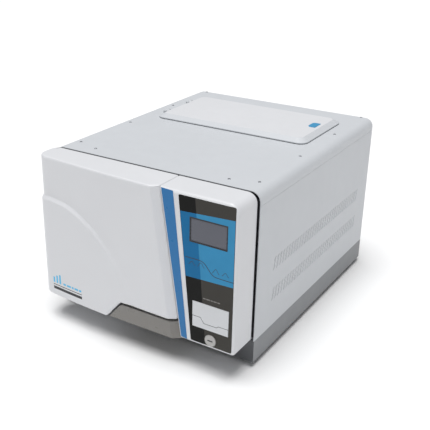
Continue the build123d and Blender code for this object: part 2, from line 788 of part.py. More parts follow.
FLAP_AXIS_Z = 97.0
FLAP_AXIS_Y = FRONT_Y + 1.4


def printer_flap():
    """Lower printer door, hinged along its bottom edge."""
    x0, x1 = PRINTER_X
    outline = slit_outline(FLAP_AXIS_Z - 2.2, PRINTER_Z[1], -0.4) & Pos((x0 + x1) / 2, 110) * Rectangle(x1 - x0 - 0.4, 60)
    flap = front_prism(outline, (PRINTER_FRONT, FRONT_Y + 1.4))
    flap += rod_x(1.6, (x0 + 0.6, x1 - 0.6), FLAP_AXIS_Y, FLAP_AXIS_Z)
    return flap


def start_button():
    """Round push button with a rounded rim and a small dark mark sunk in it."""
    cap = rod_y(BUTTON_R - 0.3, BUTTON_X, (FRONT_Y - 1.6, FRONT_Y + 10), BUTTON_Z)
    cap = fillet(cap.edges().sort_by(Axis.Y)[0], 1.0)
    mark = Pos(BUTTON_X, BUTTON_Z) * SlotOverall(12, 3)
    return cap - front_prism(mark, (FRONT_Y - 2, FRONT_Y - 1.2))


def lock_actuator():
    """Motor block that drives the door's lock bolt."""
    body = block((128, 176), (-30, -SEAM - 2), (BOLT_Z - 15, BOLT_Z + 15))
    body += rod_x(10, (176, 196), BOLT_Y - 1, BOLT_Z)
    return body - rod_x(5.2, (127, 145), BOLT_Y, BOLT_Z)


LOCK_TRAVEL = 10.0


def lock_bolt():
    """Sliding bolt, shown drawn back, that enters the door's edge."""
    tip = housing_left_x(BOLT_Z) + 0.6
    bolt = rod_x(5.0, (tip, 140), BOLT_Y, BOLT_Z)
    return chamfer(bolt.edges().sort_by(Axis.X)[0], 1.0)


def front_skirt():
    """Grey moulded piece under the door's right part, with a rounded upper edge."""
    low, high = SKIRT_H - 1, NOTCH_Z - 5.5
    corners = [
        (-53, low),
        (-22, high),
        (door_edge_x(high), high),
        (door_edge_x(low), low),
    ]
    outline = make_face(Polyline(*corners, close=True))
    outline = fillet([v for v in outline.vertices() if v.X < 0 and v.Y > high - 1], 14)
    plan = door_plan(-66, -75.5, FRONT_MOST + 3.5, 0)
    solid = extrude(plan, 200) & front_prism(outline, (FRONT_MOST - 5, -BULKHEAD_T))
    solid -= Pos(0, 2.5, 0) * door_edge_wedge(0)
    hollow = front_prism(offset(outline, -WALL, kind=Kind.INTERSECTION), (-64, 0))
    return solid - hollow


# ======================================================================
# Water reservoir
# ======================================================================

def lid_loft(inset, z_low, z_high):
    """A low truncated pyramid with rounded corners."""
    centre = ((LID_X[0] + LID_X[1]) / 2, (LID_Y[0] + LID_Y[1]) / 2)
    length, width = LID_X[1] - LID_X[0] - 2 * inset, LID_Y[1] - LID_Y[0] - 2 * inset
    low = Pos(*centre, z_low) * RectangleRounded(length, width, LID_CORNER_R)
    mid = Pos(*centre, z_low + 2) * RectangleRounded(length, width, LID_CORNER_R)
    high_size = (length - 2 * LID_BEVEL, width - 2 * LID_BEVEL)
    high = Pos(*centre, z_high) * RectangleRounded(*high_size, LID_CORNER_R - 6)
    return loft([mid, high]) + extrude(low, 2)


LID_BASE_Z = CASE_H + 1.5
LID_HINGE_X = LID_X[0] - 4.5
LID_HINGE_Z = CASE_H + 4.2
LID_HINGE_Y = (345.0, 445.0)


def reservoir_lid():
    """Bevelled hollow lid with hinge eyes on its left edge."""
    lid = lid_loft(0, LID_BASE_Z, LID_BASE_Z + LID_H)
    lid -= lid_loft(LID_T, LID_BASE_Z - 1, LID_BASE_Z + LID_H - LID_T)
    for y in LID_HINGE_Y:
        lid += rod_y(2.6, LID_HINGE_X, (y - 6, y + 6), LID_HINGE_Z)
        lid += block((LID_HINGE_X, LID_X[0] + 1), (y - 6, y + 6), (LID_HINGE_Z - 1.2, LID_HINGE_Z + 1.2))
        lid -= rod_y(1.25, LID_HINGE_X, (y - 7, y + 7), LID_HINGE_Z)
    return lid


def lid_hinges():
    """Fixed hinge eyes with their pins, one pair for each lid eye."""
    hinges = []
    for y in LID_HINGE_Y:
        eyes = rod_y(1.2, LID_HINGE_X, (y - 13, y + 13), LID_HINGE_Z)
        for low in (y - 12, y + 6.4):
            eyes += rod_y(2.6, LID_HINGE_X, (low, low + 5.6), LID_HINGE_Z)
            eyes += block((LID_HINGE_X - 2.6, LID_HINGE_X + 1), (low, low + 5.6), (CASE_H, LID_HINGE_Z))
        hinges.append(eyes)
    return hinges


TAB_X = (155.0, 173.0)
TAB_Y = (392.0, 424.0)


def lid_finger_tab():
    """Small coloured finger tab on the lid's right end."""
    z = LID_BASE_Z + LID_H
    tab = block(TAB_X, TAB_Y, (z, z + 1.6))
    inner = tab.edges().filter_by(Axis.Z).group_by(Axis.X)[0]
    tab = fillet(inner, 7)
    return fillet(tab.faces().sort_by(Axis.Z)[-1].edges(), 0.7)


TANK_X = (62.0, 236.0)
TANK_Y = (300.0, 486.0)
TANK_Z = (176.0, 346.0)
BASIN_Z = (353.0, CASE_H - SHEET - 0.2)


def open_tank(x, y, z, wall, corner):
    """A thin box with rounded corners that is open at the top."""
    outer = fillet(block(x, y, z).edges().filter_by(Axis.Z), corner)
    inner = block(grow(x, -wall), grow(y, -wall), (z[0] + wall, z[1] + 1))
    return outer - fillet(inner.edges().filter_by(Axis.Z), corner - wall)


def water_tank():
    """Clean water tank beside the chamber, open under the basin."""
    return open_tank(TANK_X, TANK_Y, TANK_Z, 2.5, 10)


def reservoir_basin():
    """Shallow tray under the lid, with a filling hole over the tank."""
    x, y = grow(FILL_X, 8), grow(FILL_Y, 8)
    basin = block(x, y, BASIN_Z)
    basin = fillet(basin.edges().filter_by(Axis.Z), 12)
    basin -= block(grow(FILL_X, -1), grow(FILL_Y, -1), (BASIN_Z[0] + 2.5, BASIN_Z[1] + 1))
    return basin - rod_z(30, 112, 395, (BASIN_Z[0] - 1, BASIN_Z[1] + 1))


def tank_strainer():
    """Mesh cup that hangs in the filling hole."""
    z0 = BASIN_Z[0] + 2.5
    cup = rod_z(28.5, 112, 395, (z0 - 40, z0)) + rod_z(34, 112, 395, (z0 + 0.1, z0 + 1.6))
    cup += rod_z(28.5, 112, 395, (z0, z0 + 0.1))
    cup -= rod_z(27, 112, 395, (z0 - 38.5, z0 + 2))
    for level in range(4):
        for i in range(8):
            a = math.pi * i / 8
            slot = Pos(112, 395, z0 - 33 + level * 8.5) * Rot(0, 0, math.degrees(a)) * Box(70, 3, 5)
            cup -= slot
    return cup


def waste_tank():
    """Used water tank behind the chamber."""
    body = block((-222, 40), (488, 570), (120, 330))
    body = fillet(body.edges(), 8)
    body += rod_z(14, -160, 529, (330, 340))
    return body - rod_z(11, -160, 529, (322, 341)) - fillet(
        block((-219.5, 37.5), (490.5, 567.5), (122.5, 327.5)).edges(), 6
    )


# ======================================================================
# Steam, vacuum and power plant
# ======================================================================

def steam_generator():
    """Upright stainless boiler with bolted end flanges and a level probe."""
    x, y = 180.0, 230.0
    body = rod_z(34, x, y, (30, 190))
    for z in (30, 182):
        body += rod_z(42, x, y, (z, z + 8))
    body += rod_z(5, x + 15, y, (190, 215)) + rod_z(7, x - 15, y, (190, 202))
    for x_leg in (x - 30, x + 30):
        body += block((x_leg - 4, x_leg + 4), (y - 4, y + 4), (BASE_SHEET, 30))
    return body


def vacuum_pump():
    """Membrane pump: motor, two heads and its foot plate."""
    x, z = 150.0, 96.0
    pump = rod_y(36, x, (330, 430), z)
    for i in range(10):
        a = 2 * math.pi * i / 10
        fin = Pos(x, 380, z) * Rot(0, math.degrees(a), 0) * Pos(0, 0, 37) * Box(3, 90, 5)
        pump += fin
    for y in (305, 430):
        pump += block((x - 34, x + 34), (y, y + 25), (z - 30, z + 42))
    pump += block((x - 45, x + 45), (305, 455), (BASE_SHEET, BASE_SHEET + 5))
    for y in (325, 425):
        pump += block((x - 25, x + 25), (y, y + 10), (BASE_SHEET + 5, z - 20))
    return pump


def water_pump():
    """Small vibrating pump on its bracket."""
    x, y, z = 60.0, 90.0, 40.0
    pump = rod_y(19, x, (y, y + 60), z) + rod_y(9, x, (y - 16, y + 82), z)
    pump += block((x - 22, x + 22), (y + 14, y + 46), (z - 22, z + 22))
    return pump + block((x - 16, x + 16), (y + 14, y + 46), (BASE_SHEET, z - 20))


def condenser():
    """Finned heat exchanger in front of the fan."""
    x, z = (FAN_X - 52, FAN_X + 52), (FAN_Z - 55, FAN_Z + 55)
    core = block(x, (500, 503), z) + block(x, (525, 528), z)
    fin_count = 26
    pitch = (x[1] - x[0] - 2) / (fin_count - 1)
    for i in range(fin_count):
        left = x[0] + i * pitch
        core += block((left, left + 0.8), (503, 525), z)
    for i in range(5):
        core += rod_x(4, grow(x, 8), 514, FAN_Z - 44 + 22 * i)
    return core


FAN_Y = (556.0, 581.0)


def fan_frame():
    """Square fan housing with a hub held on four arms."""
    half = FAN_SIZE / 2
    frame = block((FAN_X - half, FAN_X + half), FAN_Y, (FAN_Z - half, FAN_Z + half))
    frame = fillet(frame.edges().filter_by(Axis.Y), 5)
    frame -= rod_y(FAN_BORE_R, FAN_X, grow(FAN_Y, 1), FAN_Z)
    frame += rod_y(17, FAN_X, (FAN_Y[0], FAN_Y[0] + 4), FAN_Z)
    frame += rod_y(2, FAN_X, (FAN_Y[0] + 4, FAN_Y[1] - 6), FAN_Z)
    for angle in (45, 135):
        frame += Pos(FAN_X, FAN_Y[0] + 2, FAN_Z) * Rot(0, angle, 0) * Box(2 * FAN_BORE_R + 2, 4, 6)
    for dx in (-1, 1):
        for dz in (-1, 1):
            frame -= rod_y(2.2, FAN_X + dx * 39, grow(FAN_Y, 1), FAN_Z + dz * 39)
    return frame


def fan_rotor():
    """Hub and seven twisted blades on the fan's spindle."""
    y0, y1 = FAN_Y[0] + 5, FAN_Y[1] - 3
    rotor = rod_y(16, FAN_X, (y0, y1), FAN_Z)
    blade_count = 7
    for i in range(blade_count):
        turn = Pos(FAN_X, (y0 + y1) / 2, FAN_Z) * Rot(0, 360 / blade_count * i, 0)
        rotor += turn * Pos(27.5, 0, 0) * Rot(38, 0, 0) * Box(26, 1.4, 19)
    return rotor - rod_y(2.05, FAN_X, (y0 - 1, FAN_Y[1] - 5.5), FAN_Z)


def fan_guard():
    """Round wire grille on the rear panel."""
    y = CASE_D + 2.5
    guard = rod_y(1.2, FAN_X, (y - 1, y + 1), FAN_Z)
    for radius in (12, 20, 28, 36, 44):
        wire = rod_y(radius + 0.8, FAN_X, (y - 0.8, y + 0.8), FAN_Z)
        guard += wire - rod_y(radius - 0.8, FAN_X, (y - 2, y + 2), FAN_Z)
    for angle in (45, 135):
        guard += Pos(FAN_X, y - 1, FAN_Z) * Rot(0, angle, 0) * Box(112, 1.6, 1.6)
    for dx in (-1, 1):
        for dz in (-1, 1):
            x, z = FAN_X + dx * 39, FAN_Z + dz * 39
            guard += rod_y(4, x, (CASE_D, y), z)
    return guard


def pipe(points, radius, bend):
    """A tube that follows straight runs joined by equal bends."""
    path = FilletPolyline(*points, radius=bend)
    return sweep(Plane(path @ 0, z_dir=path % 0) * Circle(radius), path)


def steam_pipes():
    """Copper tubes between the boiler, the chamber, the condenser and the pump."""
    feed = pipe([(165, 230, 203), (165, 230, 240), (100, 230, 240), (100, 230, 212), (50, 230, 212)], 3, 9)
    exhaust = pipe([(70, 494, 140), (70, 520, 140), (70, 520, 300), (90, 520, 300)], 3, 9)
    suction = pipe([(220, 514, 211), (232, 514, 211), (232, 514, 150), (232, 430, 150), (232, 430, 110), (186, 430, 110)], 3, 5)
    return [feed, exhaust, suction]


def solenoid_valves():
    """Row of electric valves on a common brass block."""
    x0, y, z = 70.0, 180.0, 60.0
    bank = block((x0, x0 + 66), (y - 10, y + 10), (z - 8, z + 8))
    for i in range(3):
        x = x0 + 11 + i * 22
        bank += rod_z(6, x, y, (z + 8, z + 18)) + block((x - 10, x + 10), (y - 13, y + 13), (z + 18, z + 46))
    return bank + block((x0 + 25, x0 + 41), (y - 8, y + 8), (BASE_SHEET, z - 8))


def power_board():
    """Mains board on the right side with relays, capacitors and a transformer."""
    x = (216.0, 217.6)
    board = block(x, (40, 180), (90, 320))
    for y, z, w, h, t in ((70, 290, 28, 30, 16), (70, 250, 28, 30, 16), (120, 270, 40, 50, 34), (150, 130, 30, 36, 20)):
        board += block((x[0] - t, x[0]), (y - w / 2, y + w / 2), (z - h / 2, z + h / 2))
    for z in (150, 185):
        board += rod_x(12, (x[0] - 34, x[0]), 80, z)
    for y in (46, 174):
        for z in (96, 314):
            board += rod_x(3, (x[1], CASE_W / 2 - SHEET - 0.3), y, z)
    return board


def safety_valve():
    """Spring loaded relief valve whose stem stands out of the rear panel."""
    body = rod_y(11, VALVE_X, (572, CASE_D - SHEET - 0.3), VALVE_Z)
    body += rod_y(6.8, VALVE_X, (CASE_D - SHEET - 0.3, CASE_D + 7), VALVE_Z)
    return body - rod_y(3.3, VALVE_X, (CASE_D - 8, CASE_D + 8), VALVE_Z)


VALVE_LIFT = 3.0


def valve_pull_ring():
    """Stem and split ring that lift the relief valve by hand."""
    stem = rod_y(3.2, VALVE_X, (CASE_D - 7, CASE_D + 14), VALVE_Z)
    ring_y = CASE_D + 19
    torus = Pos(VALVE_X, ring_y, VALVE_Z) * Torus(7.5, 1.2)
    return stem + torus


ROCKER_Y = CASE_D - 2.0


def power_entry():
    """Mains module: the inlet with its three contacts beside the frame of the switch."""
    flange = block((SWITCH_X - 14, INLET_X + 24), (CASE_D, CASE_D + 2.5), (INLET_Z - 17, INLET_Z + 17))
    flange = fillet(flange.edges().filter_by(Axis.Y), 4)
    shell = block((INLET_X - 14, INLET_X + 14), (CASE_D - 26, CASE_D), (INLET_Z - 10.5, INLET_Z + 10.5))
    case = block((SWITCH_X - 10, SWITCH_X + 10), (CASE_D - 24, CASE_D), (INLET_Z - 14, INLET_Z + 14))
    entry = flange + shell + case
    entry -= block((INLET_X - 12, INLET_X + 12), (CASE_D - 16, CASE_D + 3), (INLET_Z - 8.5, INLET_Z + 8.5))
    entry -= block((SWITCH_X - 8.5, SWITCH_X + 8.5), (CASE_D - 16, CASE_D + 3), (INLET_Z - 12.5, INLET_Z + 12.5))
    for dx, dz in ((-7, -2), (0, 3), (7, -2)):
        x, z = INLET_X + dx, INLET_Z + dz
        entry += block((x - 1, x + 1), (CASE_D - 16.5, CASE_D - 1), (z - 2, z + 2))
    return entry + rod_x(1.5, (SWITCH_X - 9, SWITCH_X + 9), ROCKER_Y, INLET_Z)


ROCKER_TILT = 8.0


def power_rocker():
    """Rocker of the mains switch, tilted to off."""
    corners = [(-11.5, 4.5), (0, 3.2), (11.5, 4.5), (11.5, -1), (3, -6), (-3, -6), (-11.5, -1)]
    profile = make_face(Polyline(*[(ROCKER_Y + y, INLET_Z + z) for z, y in corners], close=True))
    rocker = side_prism(profile, (SWITCH_X - 8, SWITCH_X + 8))
    rocker -= rod_x(1.55, (SWITCH_X - 9, SWITCH_X + 9), ROCKER_Y, INLET_Z)
    pivot = Axis((SWITCH_X, ROCKER_Y, INLET_Z), (1, 0, 0))
    return rocker.rotate(pivot, ROCKER_TILT)


DRAIN_KNOB_Y = CASE_D + 10.0
BARB_R = 4.5


def drain_valves():
    """Two drain cocks on the rear panel, each with a ribbed hose spigot."""
    valves = []
    for x in DRAIN_X:
        body = rod_y(6.0, x, (CASE_D - 20, CASE_D), DRAIN_Z) + rod_y(9, x, (CASE_D, CASE_D + 18), DRAIN_Z)
        body += rod_y(BARB_R, x, (CASE_D + 18, REAR_MOST), DRAIN_Z)
        body -= rod_y(2.5, x, (CASE_D + 14, REAR_MOST + 1), DRAIN_Z)
        body += rod_z(4.5, x, DRAIN_KNOB_Y, (DRAIN_Z, DRAIN_Z + 11))
        body -= rod_z(2.55, x, DRAIN_KNOB_Y, (DRAIN_Z + 4, DRAIN_Z + 12))
        valves.append(body)
    return valves


def drain_lever(x):
    """Quarter turn lever on one drain cock."""
    z = DRAIN_Z + 11.4
    stem = rod_z(2.5, x, DRAIN_KNOB_Y, (DRAIN_Z + 4.5, z + 4))
    hub = rod_z(6, x, DRAIN_KNOB_Y, (z, z + 4))
    bar = block((x - 4, x + 22), (DRAIN_KNOB_Y - 3, DRAIN_KNOB_Y + 3), (z, z + 4))
    bar = fillet(bar.edges().filter_by(Axis.Z), 2.9)
    return stem + hub + bar


# ======================================================================
# Write every sub-part
# ======================================================================
export("base_tray", base_tray())
export("rubber_feet", *rubber_feet())
export("chassis_frame", chassis_frame())
export("front_bulkhead", front_bulkhead())
export("left_side_panel", side_panel(-1))
export("right_side_panel", side_panel(1))
export("top_cover", top_cover())
export("rear_panel", rear_panel())
export("casing_screws", *casing_screws())
export("front_skirt", front_skirt())

export("door_cover", door_cover())
export("door_frame", door_frame())
export("door_liner", door_liner())
export("pressure_plate", pressure_plate())
export("door_gasket", door_gasket())
export("hinge_brackets", *hinge_brackets())
export("hinge_pins", *hinge_pins())

export("chamber", chamber())
export("chamber_flange", chamber_flange())
export("heater_bands", *heater_bands())
export("insulation_jacket", insulation_jacket())
export("tray_rack", tray_rack())
for number in range(3):
    export(f"tray_{number + 1}", tray(number))
export("bacteria_filter", bacteria_filter())

export("control_housing", control_housing())
export("blue_trim_strip", blue_trim_strip())
export("control_overlay", control_overlay())
export("lcd_screen", lcd_screen())
export("control_board", control_board())
export("printer_body", printer_body())
export("paper_roll", paper_roll())
export("printer_flap", printer_flap())
export("start_button", start_button())
export("lock_actuator", lock_actuator())
export("lock_bolt", lock_bolt())

export("reservoir_lid", reservoir_lid())
export("lid_hinges", *lid_hinges())
export("lid_finger_tab", lid_finger_tab())
export("reservoir_basin", reservoir_basin())
export("tank_strainer", tank_strainer())
export("water_tank", water_tank())
export("waste_tank", waste_tank())

export("steam_generator", steam_generator())
export("vacuum_pump", vacuum_pump())
export("condenser", condenser())
export("fan_frame", fan_frame())
export("fan_rotor", fan_rotor())
export("fan_guard", fan_guard())
export("steam_pipes", *steam_pipes())
export("feed_pump_and_valves", water_pump(), solenoid_valves())
export("power_board", power_board())
export("safety_valve", safety_valve())
export("valve_pull_ring", valve_pull_ring())
export("power_entry", power_entry())
export("power_rocker", power_rocker())
export("drain_valves", *drain_valves())
for place, x in zip(("clean", "waste"), DRAIN_X):
    export(f"drain_lever_{place}", drain_lever(x))
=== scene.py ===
"""Looks of a benchtop steam autoclave around its CAD frame.

Materials, the moulded door cover, printed marks, screws, light and camera.
"""

import math

import bmesh
import bpy
from mathutils import Matrix, Vector
from mathutils.geometry import delaunay_2d_cdt


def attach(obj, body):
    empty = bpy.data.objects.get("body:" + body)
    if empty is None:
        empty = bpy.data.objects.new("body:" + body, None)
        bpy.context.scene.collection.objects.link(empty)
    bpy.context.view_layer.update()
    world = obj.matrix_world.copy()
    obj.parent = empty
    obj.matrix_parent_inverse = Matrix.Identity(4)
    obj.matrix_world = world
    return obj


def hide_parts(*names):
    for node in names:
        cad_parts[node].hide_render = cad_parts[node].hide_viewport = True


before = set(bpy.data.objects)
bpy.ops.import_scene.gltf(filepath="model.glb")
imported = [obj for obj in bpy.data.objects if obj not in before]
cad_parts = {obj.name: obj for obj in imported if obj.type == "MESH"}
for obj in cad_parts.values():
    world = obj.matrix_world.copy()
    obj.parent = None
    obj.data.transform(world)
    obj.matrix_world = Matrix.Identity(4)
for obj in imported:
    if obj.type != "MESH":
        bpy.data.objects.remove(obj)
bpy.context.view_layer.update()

MM = 0.001
Y_CENTRE = 267.5  # case coordinates start at the front edge of the sheet-metal case
FOOT_H = 12.0  # and at the underside of the base


def at(x, y, z):
    """A point given in case coordinates (mm), in the scene's metres."""
    return Vector((x * MM, (y - Y_CENTRE) * MM, (z + FOOT_H) * MM))


# ---------------------------------------------------------------- materials


def srgb(red, green, blue):
    """Linear colour of an 8-bit display colour."""
    linear = []
    for value in (red, green, blue):
        share = value / 255
        linear.append(share / 12.92 if share <= 0.04045 else ((share + 0.055) / 1.055) ** 2.4)
    return (*linear, 1.0)


def scaled(colour, factor):
    """The colour made lighter or darker."""
    return (*(min(1.0, part * factor) for part in colour[:3]), 1.0)


class Finish:
    """A Principled material with its nodes at hand."""

    def __init__(self, name, colour, roughness, metallic=0.0, **sockets):
        self.material = bpy.data.materials.new(name)
        self.material.use_nodes = True
        self.material.diffuse_color = colour
        self.nodes = self.material.node_tree.nodes
        self.links = self.material.node_tree.links
        self.shader = self.nodes["Principled BSDF"]
        self.colour = colour
        self.roughness = roughness
        self.set(Base_Color=colour, Roughness=roughness, Metallic=metallic, **sockets)
        self.place = self.nodes.new("ShaderNodeTexCoord").outputs["Object"]

    def set(self, **sockets):
        for name, value in sockets.items():
            self.shader.inputs[name.replace("_", " ")].default_value = value

    def node(self, kind, **inputs):
        """A new node, with its inputs set or linked by name."""
        made = self.nodes.new(kind)
        for name, value in inputs.items():
            self.feed(made.inputs[name.replace("_", " ")], value)
        return made

    def feed(self, socket, value):
        if isinstance(value, bpy.types.NodeSocket):
            self.links.new(value, socket)
        else:
            socket.default_value = value

    def math(self, operation, first, second=0.0):
        made = self.nodes.new("ShaderNodeMath")
        made.operation = operation
        self.feed(made.inputs[0], first)
        self.feed(made.inputs[1], second)
        return made.outputs[0]

    def stretched(self, scale):
        """The object's own coordinates, stretched by a factor per axis."""
        mapping = self.node("ShaderNodeMapping", Vector=self.place)
        mapping.inputs["Scale"].default_value = scale
        return mapping.outputs["Vector"]

    def noise(self, scale, detail=3.0, place=None, roughness=0.55):
        made = self.node("ShaderNodeTexNoise", Scale=scale, Detail=detail, Roughness=roughness)
        self.links.new(place or self.place, made.inputs["Vector"])
        return made.outputs["Fac"]

    def ranged(self, value, low, high, from_low=0.3, from_high=0.7):
        made = self.node("ShaderNodeMapRange", Value=value)
        made.inputs["From Min"].default_value = from_low
        made.inputs["From Max"].default_value = from_high
        made.inputs["To Min"].default_value = low
        made.inputs["To Max"].default_value = high
        return made.outputs["Result"]

    def mix(self, share, first, second):
        made = self.nodes.new("ShaderNodeMix")
        made.data_type = "RGBA"
        self.feed(made.inputs["Factor"], share)
        self.feed(made.inputs[6], first)
        self.feed(made.inputs[7], second)
        return made.outputs[2]

    def paint(self, colour):
        self.feed(self.shader.inputs["Base Color"], colour)

    def mottle(self, scale, spread, place=None):
        """Slow change of colour over the surface."""
        share = self.ranged(self.noise(scale, 4.0, place), 0.0, 1.0)
        self.paint(self.mix(share, scaled(self.colour, 1 - spread), scaled(self.colour, 1 + spread)))

    def polish(self, scale, spread, place=None):
        """Roughness that changes over the surface."""
        rough = self.ranged(self.noise(scale, 4.0, place), self.roughness - spread, self.roughness + spread)
        self.feed(self.shader.inputs["Roughness"], rough)

    def relief(self, height, depth, strength=1.0):
        """A bump of that depth in metres."""
        bump = self.node("ShaderNodeBump", Height=height, Distance=depth, Strength=strength)
        self.links.new(bump.outputs["Normal"], self.shader.inputs["Normal"])


def powder_coat(name, colour, roughness=0.42):
    """Baked paint on sheet steel, with a fine orange-peel surface."""
    made = Finish(name, colour, roughness, Specular_IOR_Level=0.5)
    made.mottle(7.0, 0.012)
    made.polish(40.0, 0.05)
    made.relief(made.noise(900.0, 2.0), 0.00003)
    return made.material


def moulded_plastic(name, colour, roughness=0.36, grain=1600.0, depth=0.00002, **sockets):
    """Injection-moulded plastic with a fine grain."""
    made = Finish(name, colour, roughness, **sockets)
    made.mottle(9.0, 0.012)
    made.polish(60.0, 0.04)
    made.relief(made.noise(grain, 2.0), depth)
    return made.material


def metal(name, colour, roughness, brushing, spread=0.06, depth=0.00001, **sockets):
    """Bare metal with fine lines along one way, given by the stretch per axis."""
    made = Finish(name, colour, roughness, metallic=1.0, **sockets)
    lines = made.stretched(brushing)
    made.mottle(1.0, spread, lines)
    made.polish(1.0, 0.08, lines)
    made.relief(made.noise(1.0, 3.0, lines), depth)
    return made.material


def felt_wool(name, colour):
    made = Finish(name, colour, 0.95, Sheen_Weight=0.4, Sheen_Roughness=0.6)
    made.mottle(220.0, 0.25)
    made.relief(made.noise(500.0, 6.0, roughness=0.75), 0.0008)
    return made.material


def circuit_laminate(name, colour):
    """Green board with copper tracks under the solder mask."""
    made = Finish(name, colour, 0.35, Coat_Weight=0.3)
    tracks = made.node("ShaderNodeTexBrick", Vector=made.place, Scale=120.0)
    tracks.inputs["Color1"].default_value = colour
    tracks.inputs["Color2"].default_value = scaled(colour, 1.35)
    tracks.inputs["Mortar"].default_value = scaled(colour, 0.7)
    made.paint(tracks.outputs["Color"])
    made.relief(tracks.outputs["Fac"], 0.00008)
    return made.material


def paper_sheet(name, colour):
    made = Finish(name, colour, 0.8)
    made.mottle(300.0, 0.03)
    made.relief(made.noise(1200.0, 5.0), 0.00004)
    return made.material


def painted_reflection_film(name, dark, light, roughness, **sockets):
    """Gloss film darker on its left side, with a painted reflection lightening it right of a slightly
    slanted line.
    """
    made = Finish(name, light, roughness, **sockets)
    parts = made.node("ShaderNodeSeparateXYZ", Vector=made.place)
    slant = made.math("MULTIPLY", parts.outputs["Z"], 0.09)
    across = made.math("ADD", parts.outputs["X"], slant)
    # painted reflection: share of the lighter tone, 1 to the right of the slanted line
    right = made.ranged(across, 0.0, 1.0, REFLECTION_EDGE - 0.0006, REFLECTION_EDGE + 0.0006)
    grain = made.ranged(made.noise(25.0, 4.0), 0.96, 1.04)
    tint = made.node("ShaderNodeHueSaturation", Color=made.mix(right, dark, light), Value=grain)
    made.paint(tint.outputs["Color"])
    made.polish(90.0, 0.03)
    made.relief(made.noise(220.0, 2.0), 0.00001)
    return made.material


def display_glass(name, colour):
    """Unlit graphic display: a faint grid of pixels under clear glass."""
    made = Finish(name, colour, 0.2, Coat_Weight=0.35, Coat_Roughness=0.03, Specular_IOR_Level=0.3)
    turned = made.node("ShaderNodeMapping", Vector=made.place)
    turned.inputs["Rotation"].default_value = (math.radians(90), 0, 0)
    grid = made.node("ShaderNodeTexBrick", Vector=turned.outputs["Vector"], Scale=1.0)
    grid.offset = 0.0
    grid.inputs["Brick Width"].default_value = 0.00058
    grid.inputs["Row Height"].default_value = 0.00058
    grid.inputs["Mortar Size"].default_value = 0.00004
    grid.inputs["Color1"].default_value = colour
    grid.inputs["Color2"].default_value = scaled(colour, 1.04)
    grid.inputs["Mortar"].default_value = scaled(colour, 0.82)
    made.paint(grid.outputs["Color"])
    made.polish(60.0, 0.03)
    return made.material


REFLECTION_EDGE = 0.18525  # where the panel's painted reflection begins, its lighter side to the right, along X plus a slant, in metres
WHITE = srgb(222, 223, 226)
GREY_PAINT = srgb(205, 208, 212)

MATERIALS = {
    "case_paint": powder_coat("case_paint", GREY_PAINT),
    "base_paint": powder_coat("base_paint", srgb(142, 144, 147), 0.5),
    "white_plastic": moulded_plastic("white_plastic", WHITE),
    "skirt_plastic": moulded_plastic("skirt_plastic", srgb(128, 125, 121), 0.3),
    # black film and blue band, each with a painted reflection lightening its right part
    "panel_black": painted_reflection_film("panel_black", srgb(9, 10, 8), srgb(64, 62, 58), 0.2, Specular_IOR_Level=0.15),
    "panel_blue": painted_reflection_film(
        "panel_blue", srgb(20, 108, 160), srgb(58, 142, 188), 0.2, Specular_IOR_Level=0.15
    ),
    # dark print, and also the painted shade in the button's recess and in the printer door's slit
    "dark_print_and_shade": moulded_plastic("dark_print_and_shade", srgb(22, 26, 32), 0.3),
    "print_grey": moulded_plastic("print_grey", srgb(120, 117, 114), 0.4),
    "print_sky": moulded_plastic("print_sky", srgb(92, 190, 232), 0.4),
    # painted shade: darker copy of the base paint for the base tray's front faces, which sit under the
    # overhanging front parts
    "base_front_shade": powder_coat("base_front_shade", srgb(86, 88, 91), 0.55),
    "seam_grey": powder_coat("seam_grey", srgb(150, 153, 157), 0.5),
    "trim_blue": moulded_plastic("trim_blue", srgb(34, 114, 174), 0.3, Specular_IOR_Level=0.3),
    "tab_blue": moulded_plastic("tab_blue", srgb(62, 150, 196), 0.32),
    "display": display_glass("display", srgb(92, 94, 104)),
    "printer_plastic": moulded_plastic("printer_plastic", srgb(214, 216, 219), 0.38),
    "button_plastic": moulded_plastic("button_plastic", srgb(182, 180, 178), 0.32),
    "circuit_board": circuit_laminate("circuit_board", srgb(28, 92, 58)),
    "paper": paper_sheet("paper", srgb(240, 240, 236)),
    "rubber": moulded_plastic("rubber", srgb(34, 34, 36), 0.75, 700.0, 0.00008),
    "silicone": moulded_plastic("silicone", srgb(196, 92, 58), 0.5, 900.0, 0.00004),
    "stainless": metal("stainless", srgb(196, 197, 200), 0.26, (900.0, 12.0, 900.0)),
    "plated_steel": metal("plated_steel", srgb(168, 170, 176), 0.32, (300.0, 300.0, 40.0)),
    "motor_metal": metal("motor_metal", srgb(120, 122, 126), 0.45, (200.0, 200.0, 200.0)),
    "copper": metal("copper", srgb(200, 120, 84), 0.3, (120.0, 120.0, 120.0), 0.12),
    "brass": metal("brass", srgb(206, 172, 98), 0.28, (160.0, 160.0, 160.0), 0.1),
    "felt": felt_wool("felt", srgb(206, 202, 190)),
    "tank_plastic": moulded_plastic(
        "tank_plastic", srgb(224, 226, 226), 0.4, 1200.0, 0.00003, Subsurface_Weight=0.1
    ),
    "black_plastic": moulded_plastic("black_plastic", srgb(30, 30, 32), 0.42),
    "filter_plastic": moulded_plastic("filter_plastic", srgb(222, 228, 236), 0.25),
}

